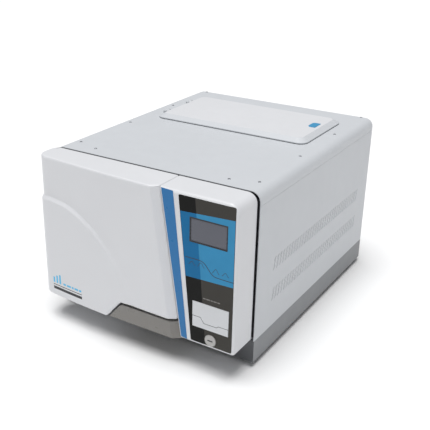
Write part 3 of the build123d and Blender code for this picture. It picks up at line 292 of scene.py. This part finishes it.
SLOT_NODES = {
    "case_paint": ("top_cover", "left_side_panel", "right_side_panel", "rear_panel"),
    "base_paint": ("base_tray", "front_bulkhead"),
    "white_plastic": ("door_cover", "control_housing", "reservoir_lid", "door_liner"),
    "skirt_plastic": ("front_skirt",),
    "panel_black": ("control_overlay",),
    "trim_blue": ("blue_trim_strip", "lid_finger_tab"),
    "display": ("lcd_screen",),
    "printer_plastic": ("printer_body", "printer_flap"),
    "button_plastic": ("start_button",),
    "circuit_board": ("control_board", "power_board"),
    "paper": ("paper_roll",),
    "rubber": ("rubber_feet",),
    "silicone": ("door_gasket",),
    "stainless": (
        "chamber", "chamber_flange", "pressure_plate", "tray_rack", "tray_1", "tray_2", "tray_3",
        "steam_generator", "tank_strainer",
    ),
    "plated_steel": (
        "chassis_frame", "door_frame", "hinge_brackets", "hinge_pins", "lock_bolt", "casing_screws",
        "lid_hinges", "fan_guard", "valve_pull_ring",
    ),
    "motor_metal": ("vacuum_pump", "lock_actuator", "condenser", "heater_bands"),
    "copper": ("steam_pipes",),
    "brass": ("safety_valve", "drain_valves"),
    "felt": ("insulation_jacket",),
    "tank_plastic": ("water_tank", "waste_tank", "reservoir_basin"),
    "black_plastic": (
        "fan_frame", "fan_rotor", "power_entry", "power_rocker", "drain_lever_clean",
        "drain_lever_waste", "feed_pump_and_valves",
    ),
    "filter_plastic": ("bacteria_filter",),
}


def dress(node, slot):
    """Gives a CAD node its material."""
    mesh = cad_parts[node].data
    mesh.materials.clear()
    mesh.materials.append(MATERIALS[slot])


def dress_front(node, slot, side, least=0.9):
    """A second material on the faces of a node that look towards that side; here it paints light and shade
    by the way the faces look.
    """
    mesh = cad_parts[node].data
    mesh.materials.append(MATERIALS[slot])
    for polygon in mesh.polygons:
        if polygon.normal.dot(Vector(side)) > least:
            polygon.material_index = len(mesh.materials) - 1


for slot, nodes in SLOT_NODES.items():
    for node in nodes:
        dress(node, slot)
dress("lid_finger_tab", "tab_blue")
dress("front_bulkhead", "seam_grey")
# painted shade: the base tray's forward faces get the darker copy of its paint
dress_front("base_tray", "base_front_shade", (0, -1, 0))
# painted light and shade by facing: the lid's upward faces get the whiter plastic, its bevels and sides the
# greyer case paint
dress("reservoir_lid", "case_paint")
dress_front("reservoir_lid", "white_plastic", (0, 0, 1), 0.99)
dress("lid_hinges", "case_paint")

# ---------------------------------------------------------------- mesh helpers


def new_piece(name, mesh, slot, body, replaced=()):
    """Puts a finished mesh in the scene with its material, on its CAD body."""
    piece = bpy.data.objects.new(name, mesh)
    bpy.context.scene.collection.objects.link(piece)
    mesh.materials.append(MATERIALS[slot])
    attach(piece, body)
    if replaced:
        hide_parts(*replaced)
    return piece


def mesh_from(name, points, faces, smooth=True):
    """A welded mesh from points in case coordinates."""
    form = bmesh.new()
    made = [form.verts.new(at(*point)) for point in points]
    for face in faces:
        corners = [made[index] for index in face]
        if len(set(corners)) > 2:
            form.faces.new(corners)
    bmesh.ops.remove_doubles(form, verts=form.verts, dist=0.02 * MM)
    bmesh.ops.dissolve_degenerate(form, dist=0.002 * MM, edges=form.edges)
    bmesh.ops.recalc_face_normals(form, faces=form.faces)
    mesh = bpy.data.meshes.new(name)
    form.to_mesh(mesh)
    form.free()
    for polygon in mesh.polygons:
        polygon.use_smooth = smooth
    return mesh


def prism(name, outline, front, thickness, surface=None):
    """A thin plate with that outline in X and Z; its front face follows a surface if one is given."""
    surface = surface or (lambda x, z: front)
    fore = [(x, surface(x, z), z) for x, z in outline]
    rear = [(x, y + thickness, z) for x, y, z in fore]
    count = len(outline)
    faces = [tuple(range(count)), tuple(range(2 * count - 1, count - 1, -1))]
    faces += [(i, (i + 1) % count, count + (i + 1) % count, count + i) for i in range(count)]
    return mesh_from(name, fore + rear, faces, smooth=False)


def applied(piece):
    """Replaces a piece's mesh by what its modifiers make of it."""
    graph = bpy.context.evaluated_depsgraph_get()
    mesh = bpy.data.meshes.new_from_object(piece.evaluated_get(graph))
    piece.modifiers.clear()
    piece.data = mesh


def rounded_path(corners, arc_step=12.0):
    """An open line through corners given as (x, z, radius), with its corners rounded."""
    path = [Vector(corners[0][:2])]
    for before, here, after in zip(corners, corners[1:], corners[2:]):
        corner = Vector(here[:2])
        to_before = (Vector(before[:2]) - corner).normalized()
        to_after = (Vector(after[:2]) - corner).normalized()
        half = to_before.angle(to_after) / 2
        reach = here[2] / math.tan(half)
        centre = corner + (to_before + to_after).normalized() * (here[2] / math.sin(half))
        start, end = corner + to_before * reach, corner + to_after * reach
        sweep = math.pi - 2 * half
        steps = max(2, round(math.degrees(sweep) / arc_step))
        sign = 1 if (start - centre).cross(end - centre) > 0 else -1
        first = math.atan2(start.y - centre.y, start.x - centre.x)
        for index in range(steps + 1):
            angle = first + sign * sweep * index / steps
            path.append(centre + Vector((math.cos(angle), math.sin(angle))) * here[2])
    path.append(Vector(corners[-1][:2]))
    return path


def resampled(path, spacing):
    """The same line with extra points on its long runs."""
    points = []
    for start, end in zip(path, path[1:]):
        steps = max(1, math.ceil((end - start).length / spacing))
        points += [start.lerp(end, index / steps) for index in range(steps)]
    return points + [path[-1]]


def inward(path):
    """Mitre direction at each point of a clockwise line, pointing inside."""
    sides = []
    for start, end in zip(path, path[1:]):
        along = (end - start).normalized()
        sides.append(Vector((along.y, -along.x)))
    mitres = [sides[0]]
    for first, second in zip(sides, sides[1:]):
        mitres.append((first + second) / (1 + first.dot(second)))
    return mitres + [sides[-1]]


def smooth_line(knots, per_span=8):
    """Catmull-Rom line through 2-D knots."""
    ends = [2 * knots[0] - knots[1], *knots, 2 * knots[-1] - knots[-2]]
    line = []
    for a, b, c, d in zip(ends, ends[1:], ends[2:], ends[3:]):
        for index in range(per_span):
            t = index / per_span
            bend = (-a + 3 * b - 3 * c + d) * t**3 + (2 * a - 5 * b + 4 * c - d) * t**2
            bend = bend + (c - a) * t + 2 * b
            line.append(bend / 2)
    return line + [knots[-1]]


# ---------------------------------------------------------------- door cover

DOOR_TOP = 364.0
DOOR_BOTTOM = 47.0
DOOR_LEFT = -242.0
NOTCH_Z = 91.0
DOOR_EDGE_TOP_X = 70.7
DOOR_EDGE_SLOPE = 0.15
NOTCH_R = 8.0
REAR_Y = -6.0
SHOULDER_X = -216.0
UPPER_FIELD = (-64.5, -74.0, -81.0)
RAISED_FIELD = (-71.0, -79.0, -81.0)
FIELD_X = (SHOULDER_X, -100.0, 45.0)
BAND_WIDTH = 16.0  # slanted band along the door's right edge
BAND_DEPTH = 12.5
# the door's width is measured along its plan: the rear corner, the side, the front corner, then X
REAR_U, SIDE_U, CORNER_U = -300.0, -278.0, -258.0


def door_edge_x(z):
    """The door's slanted right edge."""
    return DOOR_EDGE_TOP_X + DOOR_EDGE_SLOPE * (DOOR_TOP - z)


def plan_point(u, field):
    """A point of the door's plan outline."""
    if u < SIDE_U:
        turn = (u - REAR_U) / (SIDE_U - REAR_U) * math.pi / 2
        return -228 - 14 * math.sin(turn), -20 + 14 * math.cos(turn)
    if u < CORNER_U:
        share = (u - SIDE_U) / (CORNER_U - SIDE_U)
        return DOOR_LEFT, -20 + share * (field[0] + 44)
    if u < SHOULDER_X:
        turn = (u - CORNER_U) / (SHOULDER_X - CORNER_U) * math.radians(83.8)
        return -212.85 - 29.15 * math.cos(turn), field[0] + 24 - 24.14 * math.sin(turn)
    if u > FIELD_X[2]:
        return u, field[2]
    a, b, c = FIELD_X
    first = (field[1] - field[0]) / (b - a)
    second = (field[2] - field[1]) / (c - b)
    return u, field[0] + first * (u - a) + (second - first) / (c - a) * (u - a) * (u - b)


ARC_KNOTS = [
    Vector(knot)
    for knot in (
        (-310, 271), (-262, 271.5), (-236, 272), (-199, 273.3), (-150, 266), (-101, 241), (-61, 208.5),
        (-28, 167), (-9, 125), (-2, 80),
    )
]
ARC_LINE = smooth_line(ARC_KNOTS)


def arc_half_width(x):
    """Half the width of the bevel round the raised field, which spreads out towards its right end."""
    return 3.3 + 6.0 * max(0.0, (x + 60) / 60) ** 1.5


def arc_distance(u, z):
    """Distance from the arc, positive above it."""
    point = Vector((u, z))
    best = None
    for start, end in zip(ARC_LINE, ARC_LINE[1:]):
        run = end - start
        share = max(0.0, min(1.0, (point - start).dot(run) / run.length_squared))
        away = point - (start + run * share)
        if best is None or away.length < abs(best):
            best = away.length if run.cross(away) > 0 else -away.length
    return best


def soft_ramp(value, soft=0.14):
    """0 to 1 with rounded ends."""
    if value < -soft:
        return 0.0
    if value < soft:
        return (value + soft) ** 2 / (4 * soft)
    if value < 1 - soft:
        return value
    if value < 1 + soft:
        return 1 - (1 + soft - value) ** 2 / (4 * soft)
    return 1.0


def door_point(u, z, inset=0.0):
    """A point on the door's outer surface, set back by inset along the plan's inner normal."""
    half = arc_half_width(u)
    distance = arc_distance(u, z)
    raised = soft_ramp(0.5 - distance / (2 * half))
    upper, lower = plan_point(u, UPPER_FIELD), plan_point(u, RAISED_FIELD)
    x, y = (a + (b - a) * raised for a, b in zip(upper, lower))
    before, after = plan_point(u - 0.5, UPPER_FIELD), plan_point(u + 0.5, UPPER_FIELD)
    along = Vector((after[0] - before[0], after[1] - before[1])).normalized()
    x -= along.y * inset
    y += along.x * inset
    past = u - (door_edge_x(z) - BAND_WIDTH)
    slope = BAND_DEPTH / BAND_WIDTH
    band = UPPER_FIELD[2] + slope * past + inset
    blend = 2.5
    gap = max(0.0, 1 - abs(y - band) / blend)
    return x, max(y, band) + gap * gap * blend / 4, z


def edge_radius(u, z):
    """Radius of the rounded edge all round the door."""
    side = max(0.0, min(1.0, (-196 - u) / 40))
    right = max(0.0, min(1.0, (u - door_edge_x(z) + 12) / 10))
    return 4.2 + 1.0 * side - 1.8 * right


def door_skin():
    """The door's moulded cover as one open skin: rounded rim, front field and side walls."""
    corners = [
        (REAR_U, DOOR_TOP, 0),
        (door_edge_x(DOOR_TOP), DOOR_TOP, 3.5),
        (door_edge_x(NOTCH_Z), NOTCH_Z, 4.0),
        (-22, NOTCH_Z, NOTCH_R),
        (-60, DOOR_BOTTOM, NOTCH_R),
        (REAR_U, DOOR_BOTTOM, 0),
    ]
    rim = resampled(rounded_path(corners), 3.6)
    mitres = inward(rim)
    turns = [math.radians(step) for step in (0, 15, 30, 45, 60, 75, 90)]
    points, faces, rings = [], [], []
    for turn in turns:
        ring = []
        for place, mitre in zip(rim, mitres):
            radius = edge_radius(*place)
            moved = place + mitre * radius * (1 - math.cos(turn))
            ring.append(len(points))
            points.append(door_point(moved.x, moved.y, radius * (1 - math.sin(turn))))
        rings.append(ring)
    back = []
    for place, index in zip(rim, rings[0]):
        back.append(len(points))
        points.append((max(points[index][0], -228.0), REAR_Y, place.y))
    for outer, inner in zip([back, *rings], rings):
        faces += [(outer[i], outer[i + 1], inner[i + 1], inner[i]) for i in range(len(rim) - 1)]
    border = [place + mitre * edge_radius(*place) for place, mitre in zip(rim, mitres)]
    return points, faces, border


def door_field_points(border):
    """Points that carry the door's front surface inside its rounded rim."""
    left = [Vector((REAR_U, z)) for z in range(int(DOOR_BOTTOM) + 16, int(DOOR_TOP) - 9, 8)]
    loop = border + left
    inner = []
    for offset in (-1.5, -1.15, -0.85, -0.4, 0.0, 0.4, 0.85, 1.15, 1.5):
        for start, end in zip(ARC_LINE, ARC_LINE[1:]):
            side = (end - start).normalized()
            normal = Vector((-side.y, side.x))
            for share in (0.0, 0.5):
                spot = start.lerp(end, share)
                inner.append(spot + normal * offset * arc_half_width(spot.x))
    for step in range(41):
        z = DOOR_BOTTOM + (DOOR_TOP - DOOR_BOTTOM) * step / 40
        for away in (-6, -3, -1.5, 0, 1.5, 3):
            inner.append(Vector((door_edge_x(z) - BAND_WIDTH + away, z)))
    stations = [REAR_U + 3.7 * i for i in range(1, 7)] + [SIDE_U + 6.7 * i for i in range(1, 3)]
    stations += [CORNER_U + 3.5 * i for i in range(13)] + [SHOULDER_X + 8 * (i + 1) for i in range(41)]
    for u in stations:
        for step in range(1, 53):
            z = DOOR_BOTTOM + 6.0 * step
            near_arc = abs(arc_distance(u, z)) < 1.6 * arc_half_width(u)
            near_band = -8.5 < u - (door_edge_x(z) - BAND_WIDTH) < 5.5
            if not near_arc and not near_band:
                inner.append(Vector((u, z)))
    return loop, inner


def inside(point, loop, margin):
    """Whether a 2-D point lies in a loop, further than margin from it."""
    crossings = 0
    for start, end in zip(loop, loop[1:] + loop[:1]):
        run = end - start
        if run.length_squared == 0:
            continue
        share = max(0.0, min(1.0, (point - start).dot(run) / run.length_squared))
        if (point - (start + run * share)).length < margin:
            return False
        if (start.y > point.y) != (end.y > point.y):
            crossings += point.x < start.x + run.x * (point.y - start.y) / run.y
    return crossings % 2 == 1


def cut_away(piece, name, low, high, round_about=None):
    """Cuts a box, or an upright disc about a point, out of a piece."""
    form = bmesh.new()
    if round_about is None:
        bmesh.ops.create_cube(form, size=1.0)
        size = [(b - a) * MM for a, b in zip(low, high)]
    else:
        bmesh.ops.create_cone(form, cap_ends=True, segments=48, radius1=0.5, radius2=0.5, depth=1.0)
        size = [2 * round_about * MM] * 2 + [(high[2] - low[2]) * MM]
    bmesh.ops.scale(form, vec=size, verts=form.verts)
    centre = at(*((a + b) / 2 for a, b in zip(low, high)))
    bmesh.ops.translate(form, vec=centre, verts=form.verts)
    mesh = bpy.data.meshes.new(name)
    form.to_mesh(mesh)
    form.free()
    cutter = bpy.data.objects.new(name, mesh)
    bpy.context.scene.collection.objects.link(cutter)
    cut = piece.modifiers.new(name, "BOOLEAN")
    cut.operation = "DIFFERENCE"
    cut.solver = "EXACT"
    cut.object = cutter
    return cutter


def door_cover():
    """The moulded door cover, 3 mm thick, with its hinge slots and bolt window."""
    points, faces, border = door_skin()
    loop, inner = door_field_points(border)
    kept = [spot for spot in inner if inside(spot, loop, 1.2)]
    spots = loop + kept
    made = delaunay_2d_cdt(spots, [], [list(range(len(loop)))], 1, 1e-4)
    start = len(points)
    points += [door_point(*spot) for spot in made[0]]
    faces += [tuple(start + index for index in face) for face in made[2]]
    mesh = mesh_from("door_cover_moulding", points, faces)
    piece = new_piece("door_cover_moulding", mesh, "white_plastic", "door", ["door_cover"])
    shell = piece.modifiers.new("wall", "SOLIDIFY")
    shell.thickness = 3 * MM
    shell.offset = -1.0
    cutters = [
        cut_away(piece, f"hinge_slot_{z}", (-228, -25, z - 5.5), (-228, -25, z + 5.5), 24.0)
        for z in (110, 315)
    ]
    cutters.append(cut_away(piece, "bolt_window", (80, -24.5, 132.5), (125, -11.5, 147.5)))
    bpy.context.view_layer.update()
    applied(piece)
    for cutter in cutters:
        bpy.data.objects.remove(cutter)
    sharpen(piece, 32)
    return piece


def sharpen(piece, degrees):
    """Smooth shading that breaks at edges sharper than that, with flat faces kept flat."""
    mesh = piece.data
    limit = math.radians(degrees)
    form = bmesh.new()
    form.from_mesh(mesh)
    for edge in form.edges:
        edge.smooth = len(edge.link_faces) == 2 and edge.calc_face_angle(0.0) < limit
    form.to_mesh(mesh)
    form.free()
    for polygon in mesh.polygons:
        polygon.use_smooth = True
    weighted = piece.modifiers.new("even_normals", "WEIGHTED_NORMAL")
    weighted.keep_sharp = True


door_cover()

# ---------------------------------------------------------------- panel and its prints

FRONT_Y = -75.0
PRINT_Y = FRONT_Y - 0.06
PRINT_T = 0.05
OVERLAY_TOP, OVERLAY_BOTTOM = 358.5, 60.5
OVERLAY_LEFT_TOP, OVERLAY_LEFT_BOTTOM = 116.0, 146.0
INK_Y = PRINT_Y - 0.06  # dark print over the blue band
LCD_X = (143.0, 219.0)
LCD_Z = (273.0, 318.0)
PRINTER_X = (149.5, 228.5)
BUTTON_CENTRE = (190.0, 73.0)
BUTTON_SHADE_Y = FRONT_Y - 1.3  # just clear of the floor of the button's recess, carrying its painted shade


def overlay_left_x(z):
    """The panel's slanted left edge."""
    lean = (OVERLAY_LEFT_BOTTOM - OVERLAY_LEFT_TOP) / (OVERLAY_TOP - OVERLAY_BOTTOM)
    return OVERLAY_LEFT_TOP + lean * (OVERLAY_TOP - z)


def joined(meshes, name):
    """Several small meshes as one."""
    form = bmesh.new()
    for mesh in meshes:
        form.from_mesh(mesh)
        bpy.data.meshes.remove(mesh)
    made = bpy.data.meshes.new(name)
    form.to_mesh(made)
    form.free()
    return made


def ribbon(name, line, width, front, surface=None):
    """A thin printed line of that width through points in X and Z."""
    normals = inward(line)
    outline = [p + n * width / 2 for p, n in zip(line, normals)]
    outline += [p - n * width / 2 for p, n in zip(reversed(line), reversed(normals))]
    surface = surface or (lambda x, z: front)
    count = len(line)
    fore = [(p.x, surface(p.x, p.y), p.y) for p in outline]
    rear = [(x, y + PRINT_T, z) for x, y, z in fore]
    total = 2 * count
    faces = [(i, i + 1, total - 2 - i, total - 1 - i) for i in range(count - 1)]
    faces += [tuple(total + index for index in reversed(face)) for face in faces]
    faces += [(i, (i + 1) % total, total + (i + 1) % total, total + i) for i in range(total)]
    return mesh_from(name, fore + rear, faces, smooth=False)


def blue_field():
    """Blue band across the panel, open round the display."""
    frame_w = 2.2
    left, right = LCD_X[0] - frame_w, LCD_X[1] + frame_w
    low, high = LCD_Z[0] - frame_w, LCD_Z[1] + frame_w
    edge = 235.6

    def top(x):
        return 327.0 + 7.0 * (x - 119.0) / 117.0

    def bottom(x):
        return 197.0 + 4.0 * (x - 132.0) / 104.0

    def edge_x(z):
        return overlay_left_x(z) + 0.4

    low_left = edge_x(bottom(132.0))
    high_left = edge_x(top(119))
    areas = [
        [(low_left, bottom(low_left)), (edge, bottom(edge)), (edge, low), (edge_x(low), low)],
        [(edge_x(low), low), (left, low), (left, high), (edge_x(high), high)],
        [(right, low), (edge, low), (edge, high), (right, high)],
        [(edge_x(high), high), (edge, high), (edge, top(edge)), (high_left, top(119))],
    ]
    plates = [prism(f"band_{index}", area, PRINT_Y, PRINT_T) for index, area in enumerate(areas)]
    new_piece("panel_blue_field", joined(plates, "panel_blue_field"), "panel_blue", "case")


def display_bezel():
    """Thin black frame round the display."""
    outer = [(140.6, 270.6), (221.4, 270.6), (221.4, 320.4), (140.6, 320.4)]
    inner = [(143.2, 273.2), (218.8, 273.2), (218.8, 317.8), (143.2, 317.8)]
    proud, sunk = FRONT_Y - 0.25, FRONT_Y + 0.55
    points = [(x, proud, z) for x, z in outer] + [(x, proud + 0.12, z) for x, z in inner]
    points += [(x, FRONT_Y - 0.01, z) for x, z in outer] + [(x, sunk, z) for x, z in inner]
    faces = []
    for i in range(4):
        j = (i + 1) % 4
        faces += [(i, j, 4 + j, 4 + i), (8 + i, 8 + j, j, i), (4 + i, 4 + j, 12 + j, 12 + i)]
        faces.append((12 + i, 12 + j, 8 + j, 8 + i))
    mesh = mesh_from("display_bezel", points, faces, smooth=False)
    new_piece("display_bezel", mesh, "dark_print_and_shade", "case")


def cycle_chart():
    """Printed trace of a sterilising cycle: a falling line and a row of small pulses."""
    main = [Vector(p) for p in ((131.6, 237.2), (148, 237.4), (163, 237.2), (172, 234.6), (180, 227.0))]
    main += [Vector(p) for p in ((187, 218.4), (195, 212.8), (207, 211.6), (221, 211.5), (235.4, 211.5))]
    trace = ribbon("trace", smooth_line(main, 6), 1.4, INK_Y)
    pulses = []
    small, large = (7.0, 15.0), (9.0, 16.0)  # height and length of a pulse
    for start, (height, length) in ((139.0, small), (158.0, large), (190.0, large), (211.0, small)):
        base = 224.0 if start < 180 else 219.5
        line = []
        for step in range(25):
            share = step / 24
            swell = math.sin(math.pi * share) ** 2
            line.append(Vector((start + length * share, base + height * swell)))
        pulses.append(ribbon("pulse", line, 0.9, INK_Y))
    new_piece("panel_cycle_chart", joined([trace, *pulses], "panel_cycle_chart"), "dark_print_and_shade", "case")


def dash_row(name, slot, start, end, z, height, dashes, front, body, surface=None):
    """A row of short printed dashes of uneven length."""
    plates = []
    span = (end - start) / sum(dashes)
    x = start
    for index, share in enumerate(dashes):
        if index % 2 == 0:
            outline = [(x, z), (x + span * share, z), (x + span * share, z + height), (x, z + height)]
            plates.append(prism(f"{name}_{index}", outline, front, PRINT_T, surface))
        x += span * share
    new_piece(name, joined(plates, name), slot, body)


def flap_slit_shade():
    """Dark line along the stepped top edge of the printer door: painted shade of the slit there."""
    x0, x1 = PRINTER_X
    line = [Vector(p) for p in ((x0 + 0.3, 117.8), (x0 + 18, 117.8), (x0 + 26, 106.8), (x0 + 54, 106.8))]
    line += [Vector((x0 + 58, 110.3)), Vector((x1 - 0.3, 110.3))]
    mesh = ribbon("printer_flap_edge_shade", line, 0.95, FRONT_Y - 1.06)
    new_piece("printer_flap_edge_shade", mesh, "dark_print_and_shade", "flap")


def door_front(x, z):
    """Y of a thin print on the door's front."""
    return door_point(x, z)[1] - 0.06


LABEL_X = -210.0
BARS_Z = 79.5


def door_label():
    """Level bars, a row of dashes and two dark rules at the door's lower left."""
    plates = []
    for index, height in enumerate((13.0, 18.0, 22.0)):
        x = LABEL_X + 9.0 * index
        outline = [(x, BARS_Z), (x + 5.0, BARS_Z), (x + 5.0, BARS_Z + height), (x, BARS_Z + height)]
        plates.append(prism(f"bar_{index}", outline, 0, PRINT_T, door_front))
    new_piece("door_level_bars", joined(plates, "door_level_bars"), "print_sky", "door")
    dashes = (6, 2, 9, 2, 4, 2, 8, 2, 5)
    start = LABEL_X + 30.0
    end, z, height = start + 53.0, BARS_Z + 1.0, 4.5
    dash_row("door_dashes", "print_sky", start, end, z, height, dashes, 0, "door", door_front)
    rules = []
    for drop, height in ((4.6, 1.6), (12.25, 6.5)):
        line = [Vector((LABEL_X + 8.4 * i, BARS_Z - drop)) for i in range(11)]
        rules.append(ribbon("rule", line, height, 0, door_front))
    new_piece("door_rules", joined(rules, "door_rules"), "dark_print_and_shade", "door")


def button_recess_shade():
    """Dark oval sheet at the floor of the start button's recess: painted shade of the recess."""
    half, height, corner = 5.9, 1.4, 1.3
    x, z = BUTTON_CENTRE
    outline = rounded_path(
        [
            (x - half, z, 0),
            (x - half, z + height, corner),
            (x + half, z + height, corner),
            (x + half, z - height, corner),
            (x - half, z - height, corner),
            (x - half, z, 0),
        ]
    )
    mesh = prism("button_recess_shade", outline[:-1], BUTTON_SHADE_Y, PRINT_T)
    new_piece("button_recess_shade", mesh, "dark_print_and_shade", "button")


def seam_wall():
    """Grey wall at the bottom of the gap between the case and the control housing."""
    x, z = (236.9, 238.5), (54.0, 344.0)
    outline = [(x[0], z[0]), (x[1], z[0]), (x[1], z[1]), (x[0], z[1])]
    mesh = prism("front_seam_wall", outline, -5.85, 5.75)
    new_piece("front_seam_wall", mesh, "seam_grey", "case")


blue_field()
display_bezel()
cycle_chart()
panel_text = (4, 1, 6, 1, 3, 1, 5, 1, 4)
dash_row("panel_dashes", "print_grey", 172.0, 209.0, 159.2, 2.4, panel_text, PRINT_Y, "case")
flap_slit_shade()
door_label()
button_recess_shade()
seam_wall()

# ---------------------------------------------------------------- screws

CASE_TOP = 364.0
CASE_REAR = 586.0
HEAD_R, HEAD_H, SHANK_R = 3.0, 1.2, 1.5
SIDE_SCREW_X, SIDE_SCREW_Y = 216, (48, 225, 404, 566)
FRONT_SCREW_X, FRONT_SCREW_Y = 161, 30
REAR_SCREW_X, REAR_SCREW_Z = (-212, 0, 212), (66, 322)


def screw_mesh(place, axis):
    """A pan head screw with a shank, its head on the outer side of a panel."""
    profile = [(0.0, HEAD_H), (1.6, HEAD_H - 0.05), (2.4, HEAD_H - 0.3), (2.85, 0.55), (HEAD_R, 0.0)]
    profile += [(SHANK_R, 0.0), (SHANK_R, -5.2), (0.7, -6.0), (0.0, -6.0)]
    turns = 28
    turn_to = Vector((0, 0, 1)).rotation_difference(Vector(axis)).to_matrix()
    points, faces = [], []
    for radius, height in profile:
        for step in range(turns):
            angle = 2 * math.pi * step / turns
            local = Vector((radius * math.cos(angle), radius * math.sin(angle), height))
            points.append(tuple(Vector(place) + turn_to @ local))
    for ring in range(len(profile) - 1):
        for step in range(turns):
            a, b = ring * turns + step, ring * turns + (step + 1) % turns
            faces.append((a, b, b + turns, a + turns))
    return mesh_from("screw", points, faces)


def screw_cross(place, axis, angle):
    """Cutter for the cross recess in a screw's head."""
    form = bmesh.new()
    for extra in (0.0, math.pi / 2):
        made = bmesh.ops.create_cube(form, size=1.0)["verts"]
        bmesh.ops.scale(form, vec=(3.4 * MM, 0.75 * MM, 1.6 * MM), verts=made)
        bmesh.ops.rotate(form, matrix=Matrix.Rotation(angle + extra, 3, "Z"), verts=made)
    turn_to = Vector((0, 0, 1)).rotation_difference(Vector(axis)).to_matrix()
    bmesh.ops.rotate(form, matrix=turn_to, verts=form.verts)
    bmesh.ops.translate(form, vec=at(*(Vector(place) + turn_to @ Vector((0, 0, 1.2)))), verts=form.verts)
    mesh = bpy.data.meshes.new("cross")
    form.to_mesh(mesh)
    form.free()
    return mesh


def casing_screws():
    """Cross-head screws of the top cover and the rear panel."""
    up, back = (0, 0, 1), (0, 1, 0)
    places = [((x, y, CASE_TOP), up) for x in (-SIDE_SCREW_X, SIDE_SCREW_X) for y in SIDE_SCREW_Y]
    places += [((x, FRONT_SCREW_Y, CASE_TOP), up) for x in (-FRONT_SCREW_X, FRONT_SCREW_X)]
    places += [((x, CASE_REAR, z), back) for x in REAR_SCREW_X for z in REAR_SCREW_Z]
    heads = joined([screw_mesh(*place) for place in places], "casing_screw_heads")
    crosses = [screw_cross(*place, 0.7 * index) for index, place in enumerate(places)]
    cutter = bpy.data.objects.new("cross_cutter", joined(crosses, "cross_cutter"))
    bpy.context.scene.collection.objects.link(cutter)
    piece = new_piece("casing_screw_heads", heads, "plated_steel", "case", ["casing_screws"])
    cut = piece.modifiers.new("cross", "BOOLEAN")
    cut.operation = "DIFFERENCE"
    cut.solver = "EXACT"
    cut.use_self = True
    cut.object = cutter
    bpy.context.view_layer.update()
    applied(piece)
    bpy.data.objects.remove(cutter)
    sharpen(piece, 40)


casing_screws()

# ---------------------------------------------------------------- floor, light and camera


def studio_floor(half=14.0):
    """A wide pale floor under the feet."""
    mesh = bpy.data.meshes.new("floor")
    corners = [(-half, -half, 0), (half, -half, 0), (half, half, 0), (-half, half, 0)]
    mesh.from_pydata(corners, [], [(0, 1, 2, 3)])
    floor = bpy.data.objects.new("floor", mesh)
    bpy.context.scene.collection.objects.link(floor)
    made = Finish("floor_paint", srgb(250, 250, 250), 0.7, Specular_IOR_Level=0.1)
    made.mottle(1.5, 0.004)
    mesh.materials.append(made.material)


def sun_light(name, towards, strength, softness):
    """Very soft light from one direction, given from the object towards the light."""
    light = bpy.data.lights.new(name, "SUN")
    light.energy = strength
    light.angle = math.radians(softness)
    lamp = bpy.data.objects.new(name, light)
    lamp.rotation_euler = (-Vector(towards)).to_track_quat("-Z", "Y").to_euler()
    bpy.context.scene.collection.objects.link(lamp)


def studio_world(colour, strength):
    """Even light from all round."""
    world = bpy.data.worlds.new("studio")
    world.use_nodes = True
    background = world.node_tree.nodes["Background"]
    background.inputs["Color"].default_value = colour
    background.inputs["Strength"].default_value = strength
    bpy.context.scene.world = world


def photo_camera():
    """A camera that stands front right and above, at the object's usual catalogue angle."""
    azimuth, elevation, roll = (math.radians(angle) for angle in (33.2535, 23.6268, 0.2391))
    right = Vector((math.cos(azimuth), math.sin(azimuth), 0))
    back = Vector(
        (
            math.sin(azimuth) * math.cos(elevation),
            -math.cos(azimuth) * math.cos(elevation),
            math.sin(elevation),
        )
    )
    up = back.cross(right)
    turned_right = math.cos(roll) * right + math.sin(roll) * up
    turned_up = math.cos(roll) * up - math.sin(roll) * right
    data = bpy.data.cameras.new("camera")
    data.lens = 63.363
    data.sensor_width = 36.0
    data.shift_x = 0.083
    data.shift_y = 0.0046
    data.clip_end = 60.0
    camera = bpy.data.objects.new("camera", data)
    turn = Matrix((turned_right, turned_up, back)).transposed()
    camera.matrix_world = Matrix.Translation((0.8141, -1.4040, 0.8810)) @ turn.to_4x4()
    bpy.context.scene.collection.objects.link(camera)
    bpy.context.scene.camera = camera


studio_floor()
studio_world((0.97, 0.98, 1.0, 1.0), 0.24)
sun_light("sky", (-0.02, -0.15, 1.0), 2.95, 44)
photo_camera()
bpy.context.scene.view_settings.view_transform = "Standard"
